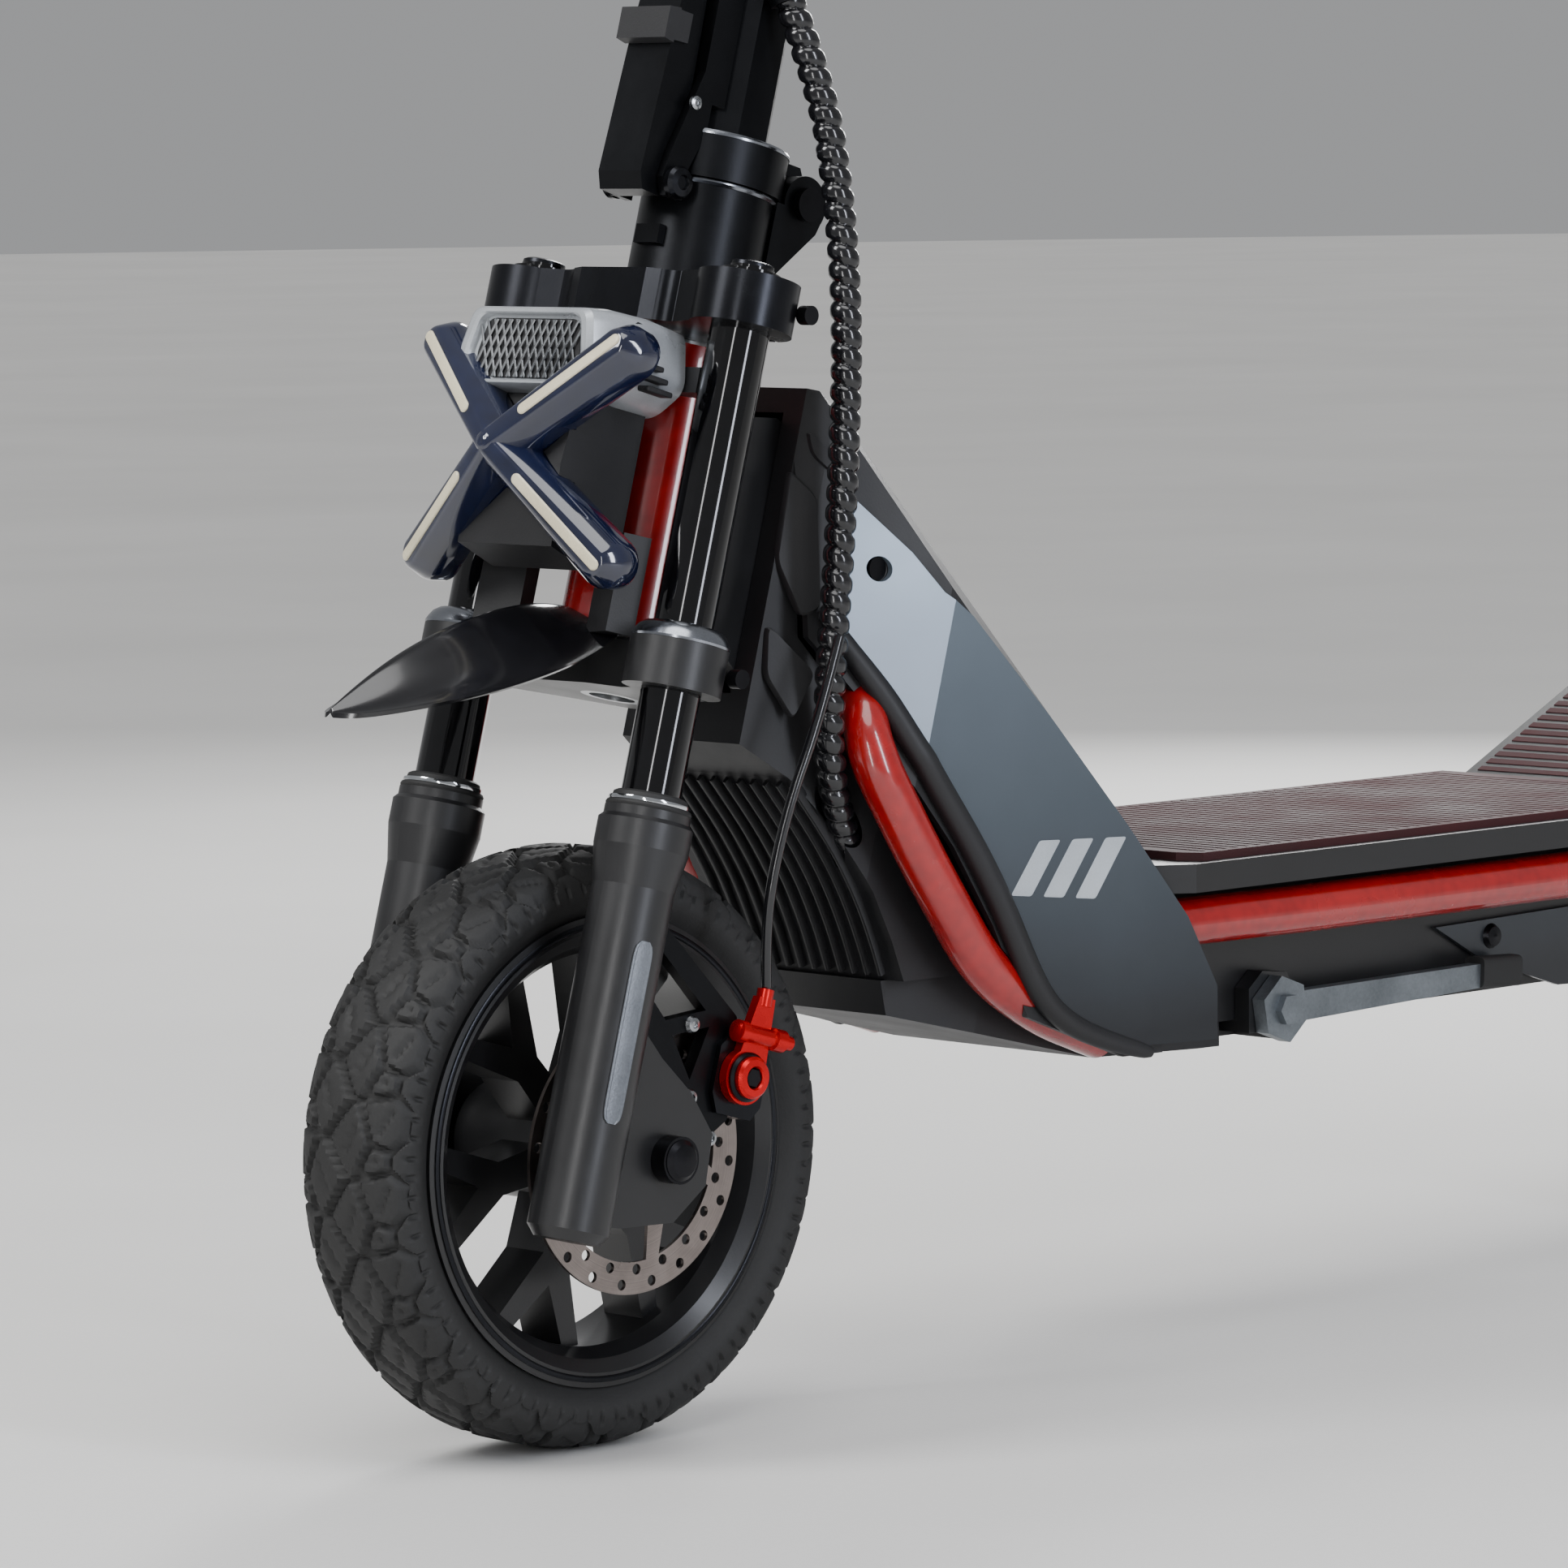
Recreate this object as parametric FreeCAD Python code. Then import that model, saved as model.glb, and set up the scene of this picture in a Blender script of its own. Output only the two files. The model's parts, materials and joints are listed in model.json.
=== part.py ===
import FreeCAD, Part
import math
import os

from FreeCAD import Vector

# Electric kick scooter, millimetres. +X is forward, +Y is the rider's left, +Z is up.
# The origin is on the ground, midway between the front of the front tyre and the tail.

# ---------------------------------------------------------------- driving dimensions
TYRE_R = 140.0              # 11 inch tyre
TYRE_HALF_W = 35.0
FRONT_AXLE_R = 6.0
FRONT_BEARING_R = 16.0
REAR_AXLE_R = 8.0
FRONT_AXLE_X = 485.0
WHEELBASE = 960.0
RAKE = 16.0                 # steering axis leans back by this many degrees
AXLE_TRAIL = 23.3           # the front axle sits this far behind the steering axis

LEG_X = 30.0                # fork legs, in the steering frame
LEG_Y = 71.0
STANCHION_R = 14.0
SLIDER_R = 19.0
SLIDER_TOP = 152.0
SLIDER_BOTTOM = -47.0
RUN = 0.05                  # running clearance on a radius
LOWER_CLAMP = (208.0, 230.0)
TOP_CLAMP = (378.0, 402.0)
STEERER_R = 15.0
HEAD_R = 31.0

FOLD_X = -38.0              # folding pin, in the steering frame
FOLD_Z = 455.0
FOLD_PIN_R = 5.0
LATCH_PIN = (40.0, 445.0)   # pin of the front latch
LATCH_PIN_R = 4.0
COLLAR_Z = 452.0            # parting plane of the folding stem
COLLAR_TOP = 474.0
BAR_Z = 1222.0
BAR_HALF = 343.0
BAR_R = 11.1
BAR_MID_R = 15.9            # thicker middle, where the stem clamps it
LEVER_PIN = (33.0, 197.0)   # brake lever pin: forward of the bar, and out from the middle
LEVER_PIN_R = 3.0
HORN_Y = 160.0
HORN_R = 5.0
BAR_END_R = 9.3              # the bar's wall is thinner at its ends
BAR_END_DEPTH = 70.0

DECK_TOP = 252.0            # top of the deck lid, under the mat
MAT_T = 4.0
LID_T = 14.0
LID_HALF_W = 106.0
MAT_HALF_W = 98.0
TRAY_HALF_W = 75.0
TRAY_Z = (168.0, 238.0)
TRAY_B = (300.0, 745.0)     # stations: distances behind the front axle
LONGERON_Z = (161.9, 167.8)
RAIL_R = 12.0
RAIL_Y = 93.0
RAIL_Z = 222.0
LOOP_R = 11.5
WALL = 3.0

ROTOR_R = 65.0
ROTOR_Y = (46.5, 48.5)
CALIPER = (-60.0, 45.0)     # centre of the front brake's caliper, in the steering frame

ARM_PIVOT = (772.0, 190.0)  # station and height of the swingarm pivot
SHOCK_TOP = (842.0, 276.0)
SHOCK_FOOT = (890.0, 178.0)
SHOCK_Y = 76.0
SHOCK_PIN_R = 5.0
SHOCK_ROD_R = 5.0
STAND = (398.0, 173.0)      # station and height of the kickstand pivot
STAND_PIN_R = 5.0
PORT = (455.0, 193.0)       # station and height of the charge port
PORT_R = 8.0
PORT_DEPTH = 8.5
CAP_HINGE_Z = 174.0

FENDER_B = 955.0            # centre of the rear mudguard's arch
FENDER_Z = 158.0
FENDER_R = (174.0, 178.0)

HARNESS_R = 7.5
CABLE_R = 2.5

STEER = FreeCAD.Placement(
    Vector(FRONT_AXLE_X + AXLE_TRAIL * math.cos(math.radians(RAKE)), 0,
           TYRE_R + AXLE_TRAIL * math.sin(math.radians(RAKE))),
    FreeCAD.Rotation(Vector(0, 1, 0), -RAKE))

# Plan of the body sides in the steering frame: distance from the steering axis, half width.
PANEL_PLAN = [(-60, 53.2), (-127, 84.0), (-345, 110.2)]
# Side outlines as (station, height).
RIDGE = [(118, 492), (143, 486), (172, 473), (194, 452), (229, 412), (276, 370), (310, 325), (326, 290)]
PANEL_SIDE = [(137, 436), (161, 410), (174, 391), (189, 379), (236, 326), (279, 274), (315, 227),
              (332, 192), (331, 166), (280, 167), (225, 191), (207, 235), (185, 275), (157, 314),
              (145, 343), (126, 370)]
REAR_PANEL_SIDE = [(528, 201), (640, 203), (742, 206), (776, 200), (770, 168), (700, 160),
                   (624, 163), (565, 181)]


# ---------------------------------------------------------------- helpers
def at(station):
    """X of a station, counted backwards from the front axle."""
    return FRONT_AXLE_X - station


def box(x0, x1, y0, y1, z0, z1):
    low = Vector(min(x0, x1), min(y0, y1), min(z0, z1))
    return Part.makeBox(abs(x1 - x0), abs(y1 - y0), abs(z1 - z0), low)


def rod(axis, r, a, b, u=0.0, v=0.0):
    """Cylinder along X, Y or Z from a to b; u and v are its other two coordinates in X, Y, Z order."""
    place = {"x": (Vector(a, u, v), Vector(1, 0, 0)),
             "y": (Vector(u, a, v), Vector(0, 1, 0)),
             "z": (Vector(u, v, a), Vector(0, 0, 1))}[axis]
    return Part.makeCylinder(r, b - a, place[0], place[1])


def pipe(axis, r_out, r_in, a, b, u=0.0, v=0.0):
    return rod(axis, r_out, a, b, u, v).cut(rod(axis, r_in, a - 1, b + 1, u, v))


def polygon(points):
    return Part.Face(Part.makePolygon(list(points) + [points[0]]))


def plate_y(points, y0, y1):
    """Outline of (x, z) points, extruded from y0 to y1."""
    face = polygon([Vector(x, y0, z) for x, z in points])
    return face.extrude(Vector(0, y1 - y0, 0))


def plate_z(points, z0, z1):
    """Outline of (x, y) points, extruded from z0 to z1."""
    face = polygon([Vector(x, y, z0) for x, y in points])
    return face.extrude(Vector(0, 0, z1 - z0))


def side_plate(stations, y0, y1):
    """Outline of (station, height) points, extruded across the scooter."""
    return plate_y([(at(b), z) for b, z in stations], y0, y1)


def turned_y(profile, x=0.0, z=0.0):
    """Solid of revolution about the Y line through x, z; the profile holds (radius, y) points."""
    face = polygon([Vector(x + r, y, z) for r, y in profile])
    return face.revolve(Vector(x, 0, z), Vector(0, 1, 0), 360)


def turned_z(profile, x=0.0, y=0.0):
    """Solid of revolution about the Z line through x, y; the profile holds (radius, z) points."""
    face = polygon([Vector(x + r, y, z) for r, z in profile])
    return face.revolve(Vector(x, y, 0), Vector(0, 0, 1), 360)


def mirrored(shape):
    return shape.mirror(Vector(0, 0, 0), Vector(0, 1, 0))


def both(shape):
    return [shape, mirrored(shape)]


def steered(shape):
    """Moves a shape from the steering frame (x forward of the axis, z up it) to the scooter's."""
    moved = shape.copy()
    moved.Placement = STEER.multiply(moved.Placement)
    return moved


def join(shapes):
    whole = shapes[0]
    for shape in shapes[1:]:
        whole = whole.fuse(shape)
    return whole.removeSplitter()


def tube_path(points):
    """Straight runs joined by the largest tangent arcs that fit. Returns the wire and the arcs' radii."""
    points = [Vector(*p) for p in points]
    edges = []
    radii = []
    start = points[0]
    for before, corner, after in zip(points, points[1:], points[2:]):
        back = (before - corner)
        ahead = (after - corner)
        half_turn = (math.pi - back.getAngle(ahead)) / 2
        radius = 0.45 * min(back.Length, ahead.Length) / math.tan(half_turn)
        trim = radius * math.tan(half_turn)
        back.normalize()
        ahead.normalize()
        into = corner + back * trim
        out = corner + ahead * trim
        middle = back + ahead
        middle.normalize()
        mid = corner + middle * (radius / math.cos(half_turn) - radius)
        edges.append(Part.LineSegment(start, into).toShape())
        edges.append(Part.Arc(into, mid, out).toShape())
        radii.append(radius)
        start = out
    edges.append(Part.LineSegment(start, points[-1]).toShape())
    return Part.Wire(edges), radii


def swept_tube(points, r, r_in=None):
    wire = tube_path(points)[0]
    first = Vector(*points[1]) - Vector(*points[0])
    section = Part.Wire(Part.makeCircle(r, Vector(*points[0]), first))
    solid = wire.makePipeShell([section], True, False)
    if r_in:
        section = Part.Wire(Part.makeCircle(r_in, Vector(*points[0]), first))
        solid = solid.cut(wire.makePipeShell([section], True, False))
    return solid


def save(name, shapes):
    """Writes one node; a list becomes a compound of separate solids."""
    if not isinstance(shapes, list):
        shapes = [shapes]
    solids = [solid for shape in shapes for solid in shape.Solids]
    whole = solids[0] if len(solids) == 1 else Part.makeCompound(solids)
    bad = [s for s in solids if not s.isValid() or s.Volume < 1.0]
    print(f"{name:20s} solids {len(solids):3d} volume {whole.Volume / 1000:9.1f} cm3", "BAD" if bad else "")
    whole.exportStep(f"parts/{name}.step")


# ---------------------------------------------------------------- wheels
def tyre(x):
    half = [(100, 26.5), (110.4, 26.5), (113, 31), (121, TYRE_HALF_W), (130, 33.5), (136.5, 28),
            (TYRE_R, 18)]
    inner = [(132, 14), (130, 23), (124, 29), (115, 28), (110, 21.5), (100, 21)]
    profile = half + [(r, -y) for r, y in reversed(half)]
    profile += [(r, -y) for r, y in reversed(inner)] + inner
    return turned_y(profile, x, TYRE_R)


def rim_barrel(x):
    half = [(100, 26.5), (110, 26.5), (110, 30.5), (103, 32), (97, 27.5), (92, 20)]
    profile = half + [(r, -y) for r, y in reversed(half)]
    profile += [(100, -20), (96, -18), (96, 18), (100, 20)]
    return turned_y(profile, x, TYRE_R)


def front_rim():
    """Cast rim with six forked spokes, and a hub bored for two bearings."""
    x = FRONT_AXLE_X
    spoke = plate_y([(20, -9), (52, -8), (94, -30), (94, -19), (66, 0), (94, 19), (94, 30), (52, 8), (20, 9)],
                    -13, 13)
    spokes = []
    for i in range(6):
        turned = spoke.copy()
        turned.rotate(Vector(0, 0, 0), Vector(0, 1, 0), 60 * i + 10)
        turned.translate(Vector(x, 0, TYRE_R))
        spokes.append(turned)
    hub = rod("y", 27, -46.5, 46.5, x, TYRE_R)
    whole = join([rim_barrel(x), hub] + spokes)
    return whole.cut(rod("y", FRONT_BEARING_R, -50, 50, x, TYRE_R))


def front_bearings():
    x = FRONT_AXLE_X
    return [pipe("y", FRONT_BEARING_R, FRONT_AXLE_R + RUN, y, y + 10, x, TYRE_R) for y in (-40, 30)]


def front_axle():
    """Through axle, with a spacing sleeve and a domed cap on each side."""
    x = FRONT_AXLE_X
    shaft = rod("y", FRONT_AXLE_R, -76, 76, x, TYRE_R)
    sleeve = pipe("y", 9, FRONT_AXLE_R, 40.2, 57, x, TYRE_R)
    cap = rod("y", 11, 71, 80, x, TYRE_R).cut(shaft)
    return [shaft] + both(sleeve) + both(cap)


def brake_rotor():
    """Perforated disc: an outer band, six swept arms and an inner ring."""
    x = FRONT_AXLE_X
    y0, y1 = ROTOR_Y
    band = pipe("y", ROTOR_R, 50, y0, y1)
    ring = pipe("y", 26, 17, y0, y1)
    parts = [band, ring]
    for i in range(6):
        arm = plate_y([(22, -4), (38, 2), (51, 14), (51, 23), (34, 11), (22, 5)], y0, y1)
        arm.rotate(Vector(0, 0, 0), Vector(0, 1, 0), 60 * i)
        parts.append(arm)
    disc = join(parts)
    holes = []
    for i in range(20):
        for row, r in ((0, 53.5), (0.5, 60.5)):
            angle = math.radians(18 * (i + row))
            holes.append(rod("y", 2.5, y0 - 1, y1 + 1, r * math.cos(angle), r * math.sin(angle)))
    disc = disc.cut(Part.makeCompound(holes))
    disc.translate(Vector(x, 0, TYRE_R))
    return disc


def hub_motor():
    """Hub motor shell and rim in one, hollow for the stator."""
    x = at(WHEELBASE)
    drum = rod("y", 78, -36, 36, x, TYRE_R).cut(rod("y", 66, -26, 26, x, TYRE_R))
    bosses = rod("y", 24, -44, 44, x, TYRE_R).cut(rod("y", 66, -26, 26, x, TYRE_R))
    web = pipe("y", 94, 70, -10, 10, x, TYRE_R)
    whole = join([rim_barrel(x), drum, bosses, web])
    return whole.cut(rod("y", REAR_AXLE_R + RUN, -50, 50, x, TYRE_R))


def motor_stator():
    """Wound stator core on the fixed rear axle, with the axle nuts."""
    x = at(WHEELBASE)
    core = pipe("y", 62, 30, -18, 18, x, TYRE_R)
    teeth = []
    for i in range(24):
        slot = box(44, 63, -20, 20, -1.6, 1.6)
        slot.rotate(Vector(0, 0, 0), Vector(0, 1, 0), 15 * i)
        slot.translate(Vector(x, 0, TYRE_R))
        teeth.append(slot)
    core = core.cut(Part.makeCompound(teeth))
    axle = rod("y", REAR_AXLE_R, -76, 76, x, TYRE_R)
    spider = join([rod("y", 30, -10, 10, x, TYRE_R), axle])
    nuts = [hexagon(13, y, y + 9, x, TYRE_R).cut(axle) for y in (60, -69)]
    return [core.fuse(spider)] + nuts


def hexagon(r, y0, y1, x, z):
    corners = [(x + r * math.cos(math.radians(60 * i)), z + r * math.sin(math.radians(60 * i)))
               for i in range(6)]
    return plate_y(corners, y0, y1)


# ---------------------------------------------------------------- fork, in the steering frame
def axle_plate():
    outline = [(34, -40), (-2, -36), (-34, -28), (-50, -8), (-48, 16), (-30, 32), (-8, 44), (14, 60), (34, 66)]
    return plate_y(outline, 57, 71)


def fork_sliders():
    """Lower legs with flared lips and the plates that carry the axle behind them."""
    legs = []
    profile = [(0, SLIDER_BOTTOM), (15, SLIDER_BOTTOM), (SLIDER_R, SLIDER_BOTTOM + 5), (SLIDER_R, 116),
               (22, 134), (22, 146), (20, 148), (20, SLIDER_TOP), (0, SLIDER_TOP)]
    for side in (1, -1):
        leg = turned_z(profile, LEG_X, side * LEG_Y)
        plate = axle_plate()
        if side < 0:
            plate = mirrored(plate)
        leg = leg.fuse(plate)
        leg = leg.cut(rod("z", STANCHION_R + RUN, -35, SLIDER_TOP + 1, LEG_X, side * LEG_Y))
        leg = leg.cut(rod("y", FRONT_AXLE_R, -90, 90, -AXLE_TRAIL, 0))
        legs.append(leg.removeSplitter())
    return legs


def fork_springs():
    return [pipe("z", 9.5, 6.5, -34.8, 300, LEG_X, side * LEG_Y) for side in (1, -1)]


def stanchions():
    legs = []
    for side in (1, -1):
        leg = pipe("z", STANCHION_R, 10.5, 20, 405, LEG_X, side * LEG_Y)
        cap = rod("z", 10.5, 395, 407, LEG_X, side * LEG_Y)
        legs += [leg, cap]
    return legs


def clamp_plate(z0, z1, boss, waist, front):
    """Fork clamp: bosses round the legs, joined by a waisted web round the steerer.

    waist and front say how far the web reaches before the legs' centres, between them and at them.
    """
    web = plate_z([(LEG_X + front, LEG_Y), (LEG_X + waist, 40), (LEG_X + waist + 6, 22), (LEG_X + waist + 6, -22),
                   (LEG_X + waist, -40), (LEG_X + front, -LEG_Y), (LEG_X - 16, -LEG_Y), (-12, -34), (-28, -16),
                   (-28, 16), (-12, 34), (LEG_X - 16, LEG_Y)], z0, z1)
    parts = [web]
    for side in (1, -1):
        parts.append(rod("z", boss, z0, z1, LEG_X, side * LEG_Y))
    whole = join(parts)
    for side in (1, -1):
        whole = whole.cut(rod("z", STANCHION_R, z0 - 1, z1 + 1, LEG_X, side * LEG_Y))
        whole = whole.cut(box(LEG_X - boss - 2, LEG_X - 12, side * LEG_Y - 1, side * LEG_Y + 1, z0 - 1, z1 + 1))
    return whole.cut(rod("z", STEERER_R, z0 - 1, z1 + 1))


def lower_clamp():
    z0, z1 = LOWER_CLAMP
    plate = clamp_plate(z0, z1, 23, 2, 10)
    collars = [pipe("z", 20, STANCHION_R, z1, z1 + 5, LEG_X, s * LEG_Y) for s in (1, -1)]
    return join([plate] + collars)


def top_clamp():
    """Machined plate, scalloped between the steerer and the legs."""
    z0, z1 = TOP_CLAMP
    plate = clamp_plate(z0, z1, 24, 14, 20)
    for side in (1, -1):
        plate = plate.cut(rod("z", 12, z0 - 1, z1 + 1, 56, side * 38))
        plate = plate.cut(rod("z", 10, z0 - 1, z1 + 1, -14, side * 52))
    return plate


def steerer():
    return pipe("z", STEERER_R, 11, LOWER_CLAMP[0], TOP_CLAMP[1])


def clamp_bolts():
    """Pinch bolts behind the legs on both clamps, and the cap bolt on top of the steerer."""
    bolts = []
    for z0, z1 in (LOWER_CLAMP, TOP_CLAMP):
        bolts += both(rod("y", 4.5, LEG_Y + 18, LEG_Y + 24, LEG_X - 20, (z0 + z1) / 2))
    bolts.append(rod("z", 10.9, 392, TOP_CLAMP[1]))
    return bolts


def head_tube():
    outer = rod("z", HEAD_R, 234, 374)
    return outer.cut(rod("z", 24, 230, 246)).cut(rod("z", 24, 362, 380)).cut(rod("z", 20, 230, 380))


def headset_bearings():
    return [pipe("z", 24, STEERER_R + RUN, 234, 246), pipe("z", 24, STEERER_R + RUN, 362, 374)]


# ---------------------------------------------------------------- front brake, in the steering frame
def caliper_bracket():
    """Truss plate from the leg to the caliper."""
    outline = [(16, 106), (4, 106), (-54, 72), (-62, 56), (-60, 24), (-46, 10), (-30, 20), (16, 62)]
    plate = plate_y(outline, 59, 66)
    for window in ([(6, 96), (-34, 71), (-10, 62), (6, 74)], [(-16, 56), (-38, 64), (-32, 38)]):
        plate = plate.cut(plate_y(window, 50, 70))
    plate = plate.cut(axle_plate())
    return plate.cut(rod("z", SLIDER_R, -60, 120, LEG_X, LEG_Y)).cut(caliper_block())


def caliper_block():
    """Rounded block straddling the rotor's edge behind the axle."""
    x, z = CALIPER
    return plate_y([(x - 17, z - 12), (x - 12, z - 19), (x + 10, z - 19), (x + 15, z - 10), (x + 15, z + 12),
                    (x + 8, z + 20), (x - 10, z + 20), (x - 17, z + 12)], 39, 69)


def brake_caliper():
    """Caliper body with its round adjuster, and the two pads beside the rotor."""
    x, z = CALIPER
    slot = (42.5, 52.5)
    body = caliper_block().cut(rod("y", ROTOR_R + 3, slot[0], slot[1], -AXLE_TRAIL, 0))
    pads = []
    for y0, y1 in ((slot[0], ROTOR_Y[0] - 0.1), (ROTOR_Y[1] + 0.1, slot[1])):
        pad = box(x - 4, x + 12, y0, y1, z - 14, z + 12).common(rod("y", ROTOR_R, 30, 60, -AXLE_TRAIL, 0))
        pads.append(pad)
    return [body] + pads


def caliper_arm():
    """Cable arm on the caliper's outer face, with the cable anchor at its tip."""
    x, z = CALIPER
    disc = rod("y", 13, 69.3, 74, x, z)
    arm = plate_y([(x - 11, z + 4), (x - 9, z + 38), (x + 1, z + 38), (x + 8, z + 6)], 69.3, 74)
    anchor = rod("z", 4, z + 34, z + 42, x - 4, 71.6)
    whole = join([disc, arm, anchor])
    return whole.cut(rod("y", 4, 72, 75, x, z))


# ---------------------------------------------------------------- lamp and front fender
LAMP_CENTRE = (102.0, 0.0, 305.0)
LAMP_TIPS = [(89.0, 67.0, 359.0), (76.0, 67.0, 252.0)]


def lamp_housing():
    """Black lamp body behind the cross, with the cowl over its top and stays to the legs."""
    body = plate_y([(42, 268), (60, 256), (84, 262), (88, 300), (84, 340), (42, 344)], -32, 32)
    cowl = plate_y([(36, 344), (44, 368), (70, 371), (90, 358), (86, 344)], -46, 46)
    stay = plate_z([(38, 30), (38, 58), (24, 58), (24, 50), (36, 30)], 346, 358)
    foot = plate_z([(46, 24), (54, 46), (42, 52), (38, 24)], LOWER_CLAMP[1], 276)
    body = join([body, cowl, stay, mirrored(stay), foot, mirrored(foot)])
    for side in (1, -1):
        body = body.cut(rod("z", STANCHION_R, 200, 380, LEG_X, side * LEG_Y))
    return body.cut(lamp_cross())


def lamp_arm(tip, width0, width1, depth, lift):
    """Tapered bar from the lamp's centre to a tip; lift moves it forward of the arm's axis."""
    start = Vector(*LAMP_CENTRE)
    end = Vector(*tip)
    along = end - start
    along.normalize()
    front = Vector(1, 0, 0) - along * along.x
    front.normalize()
    across = along.cross(front)
    wires = []
    for base, width in ((start, width0), (end, width1)):
        corners = []
        for w, d in ((-0.5, -0.3), (-0.26, 1.0), (0.26, 1.0), (0.5, -0.3), (0.46, -1.8), (-0.46, -1.8)):
            corners.append(base + across * (w * width) + front * (d * depth + lift))
        wires.append(Part.makePolygon(corners + [corners[0]]))
    return Part.makeLoft(wires, True, True)


def lamp_cross():
    arms = []
    for tip in LAMP_TIPS:
        for side in (1, -1):
            arms.append(lamp_arm((tip[0], side * tip[1], tip[2]), 26, 20, 8, 0))
    x, y, z = LAMP_CENTRE
    hub = rod("x", 15, 82, x + 8, 0, z)
    return join(arms + [hub])


def light_strips():
    """Lit strips let into the front of the four arms."""
    strips = []
    centre = Vector(*LAMP_CENTRE)
    for tip in LAMP_TIPS:
        for side in (1, -1):
            end = Vector(tip[0], side * tip[1], tip[2])
            along = end - centre
            length = along.Length
            along.normalize()
            front = Vector(1, 0, 0) - along * along.x
            front.normalize()
            across = along.cross(front)
            corners = []
            for s, w in ((0.26, -2.5), (0.92, -2.5), (0.92, 2.5), (0.26, 2.5)):
                corners.append(centre + along * (s * length) + across * w + front * 8)
            strips.append(polygon(corners).extrude(front * 1.6))
    return strips


def fender_section(x, z, half_w, drop, t):
    """Closed thin section: an arch with its sides let down."""
    top = [(-1.0, -1.0), (-0.86, -0.42), (-0.5, -0.1), (0.0, 0.0), (0.5, -0.1), (0.86, -0.42), (1.0, -1.0)]
    outer = [Vector(x, half_w * a, z + drop * b) for a, b in top]
    inner = [Vector(x, (half_w - t) * a, z - t + (drop - t) * b) for a, b in reversed(top)]
    points = outer + inner
    return Part.makePolygon(points + [points[0]])


def front_fender():
    """Beak fender that reaches forward and down from the lower clamp."""
    stations = [(42, 243, 44, 9), (60, 241, 47, 26), (98, 224, 43, 31), (135, 199, 29, 22), (166, 168, 8, 5)]
    wires = [fender_section(x, z, w, d, 2.5) for x, z, w, d in stations]
    return Part.makeLoft(wires, True, True).cut(lamp_housing()).cut(lower_clamp())


# ---------------------------------------------------------------- folding stem, in the steering frame
def octagon(flats, z0, z1):
    r = flats / 2 / math.cos(math.pi / 8)
    corners = [(r * math.cos(math.pi / 8 + i * math.pi / 4), r * math.sin(math.pi / 8 + i * math.pi / 4))
               for i in range(8)]
    return plate_z(corners, z0, z1)


def stem_base():
    """Round base on the top clamp with the two outer hinge ears and the latch hook."""
    z0 = TOP_CLAMP[1]
    base = pipe("z", 31, 24, z0, COLLAR_Z - 0.3)
    ears = []
    for y0, y1 in ((14.2, 26), (-26, -14.2)):
        ear = rod("y", 13.5, y0, y1, FOLD_X, FOLD_Z)
        web = plate_y([(-20, z0 + 8), (-20, COLLAR_Z - 0.3), (FOLD_X, COLLAR_Z - 0.3), (-50, FOLD_Z - 6),
                       (-48, FOLD_Z - 12)], y0, y1)
        ears += [ear, web]
    hook = box(29, 34, -8, 8, 418, 427)
    whole = join([base] + ears + [hook])
    whole = whole.cut(rod("z", 24, z0 - 1, COLLAR_Z + 1))
    relief = rod("y", 14.5, -14.2, 14.2, FOLD_X, FOLD_Z)
    return whole.cut(relief).cut(rod("y", FOLD_PIN_R, -40, 40, FOLD_X, FOLD_Z))


def fold_pin():
    shaft = rod("y", FOLD_PIN_R, -27, 27, FOLD_X, FOLD_Z)
    return [shaft] + both(rod("y", 8, 26.2, 30, FOLD_X, FOLD_Z).cut(shaft))


def stem_tube():
    """Eight-sided tube with a round collar, the middle hinge lug and the latch cheeks."""
    tube = octagon(44, COLLAR_TOP - 1, 1200)
    collar = rod("z", 34, COLLAR_Z, COLLAR_TOP)
    lug = rod("y", 13.5, -13.7, 13.7, FOLD_X, FOLD_Z)
    web = plate_y([(-20, COLLAR_TOP), (-20, COLLAR_Z), (FOLD_X, COLLAR_Z), (-50, FOLD_Z + 6), (-42, COLLAR_TOP)],
                  -13.7, 13.7)
    mount = box(18, 34, -19, 19, 486, 548)
    cheeks = []
    for y0, y1 in ((14.8, 19), (-19, -14.8)):
        cheek = plate_y([(26, COLLAR_TOP - 2), (33.5, COLLAR_Z), (33.5, 438), (44, 438), (48, 446), (46, 458),
                         (34, 500), (26, 500)], y0, y1)
        cheeks.append(cheek)
    whole = join([tube, collar, lug, web, mount] + cheeks)
    whole = whole.cut(rod("z", 17, COLLAR_Z + 5, 1190)).cut(rod("z", 24, COLLAR_Z - 5, COLLAR_Z + 5))
    for y0, y1 in ((13.9, 27), (-27, -13.9)):
        whole = whole.cut(rod("y", 14.5, y0, y1, FOLD_X, FOLD_Z))
    whole = whole.cut(rod("y", FOLD_PIN_R + RUN, -20, 20, FOLD_X, FOLD_Z))
    whole = whole.cut(rod("y", LATCH_PIN_R + RUN, -25, 25, *LATCH_PIN))
    return steered(whole).fuse(harness_socket().cut(steered(octagon(42, COLLAR_TOP, 1200))))


def harness_socket():
    """Boss on the stem's left side that the harness comes out of."""
    top = Vector(*HARNESS_ROUTE[0])
    ahead = Vector(*HARNESS_ROUTE[1]) - top
    ahead.normalize()
    return Part.makeCylinder(9, 16, top - ahead * 16.4, ahead)


def latch_lever():
    """Over-centre latch on the front of the stem, on its own pin."""
    body = plate_y([(36.5, 441), (44, 437.5), (55, 438), (58, 446), (54, 520), (50, 556), (42, 560), (38, 552),
                    (36.5, 500)], -14.4, 14.4)
    pin = rod("y", LATCH_PIN_R, -22, 22, *LATCH_PIN)
    return [body.cut(pin), pin]


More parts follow.
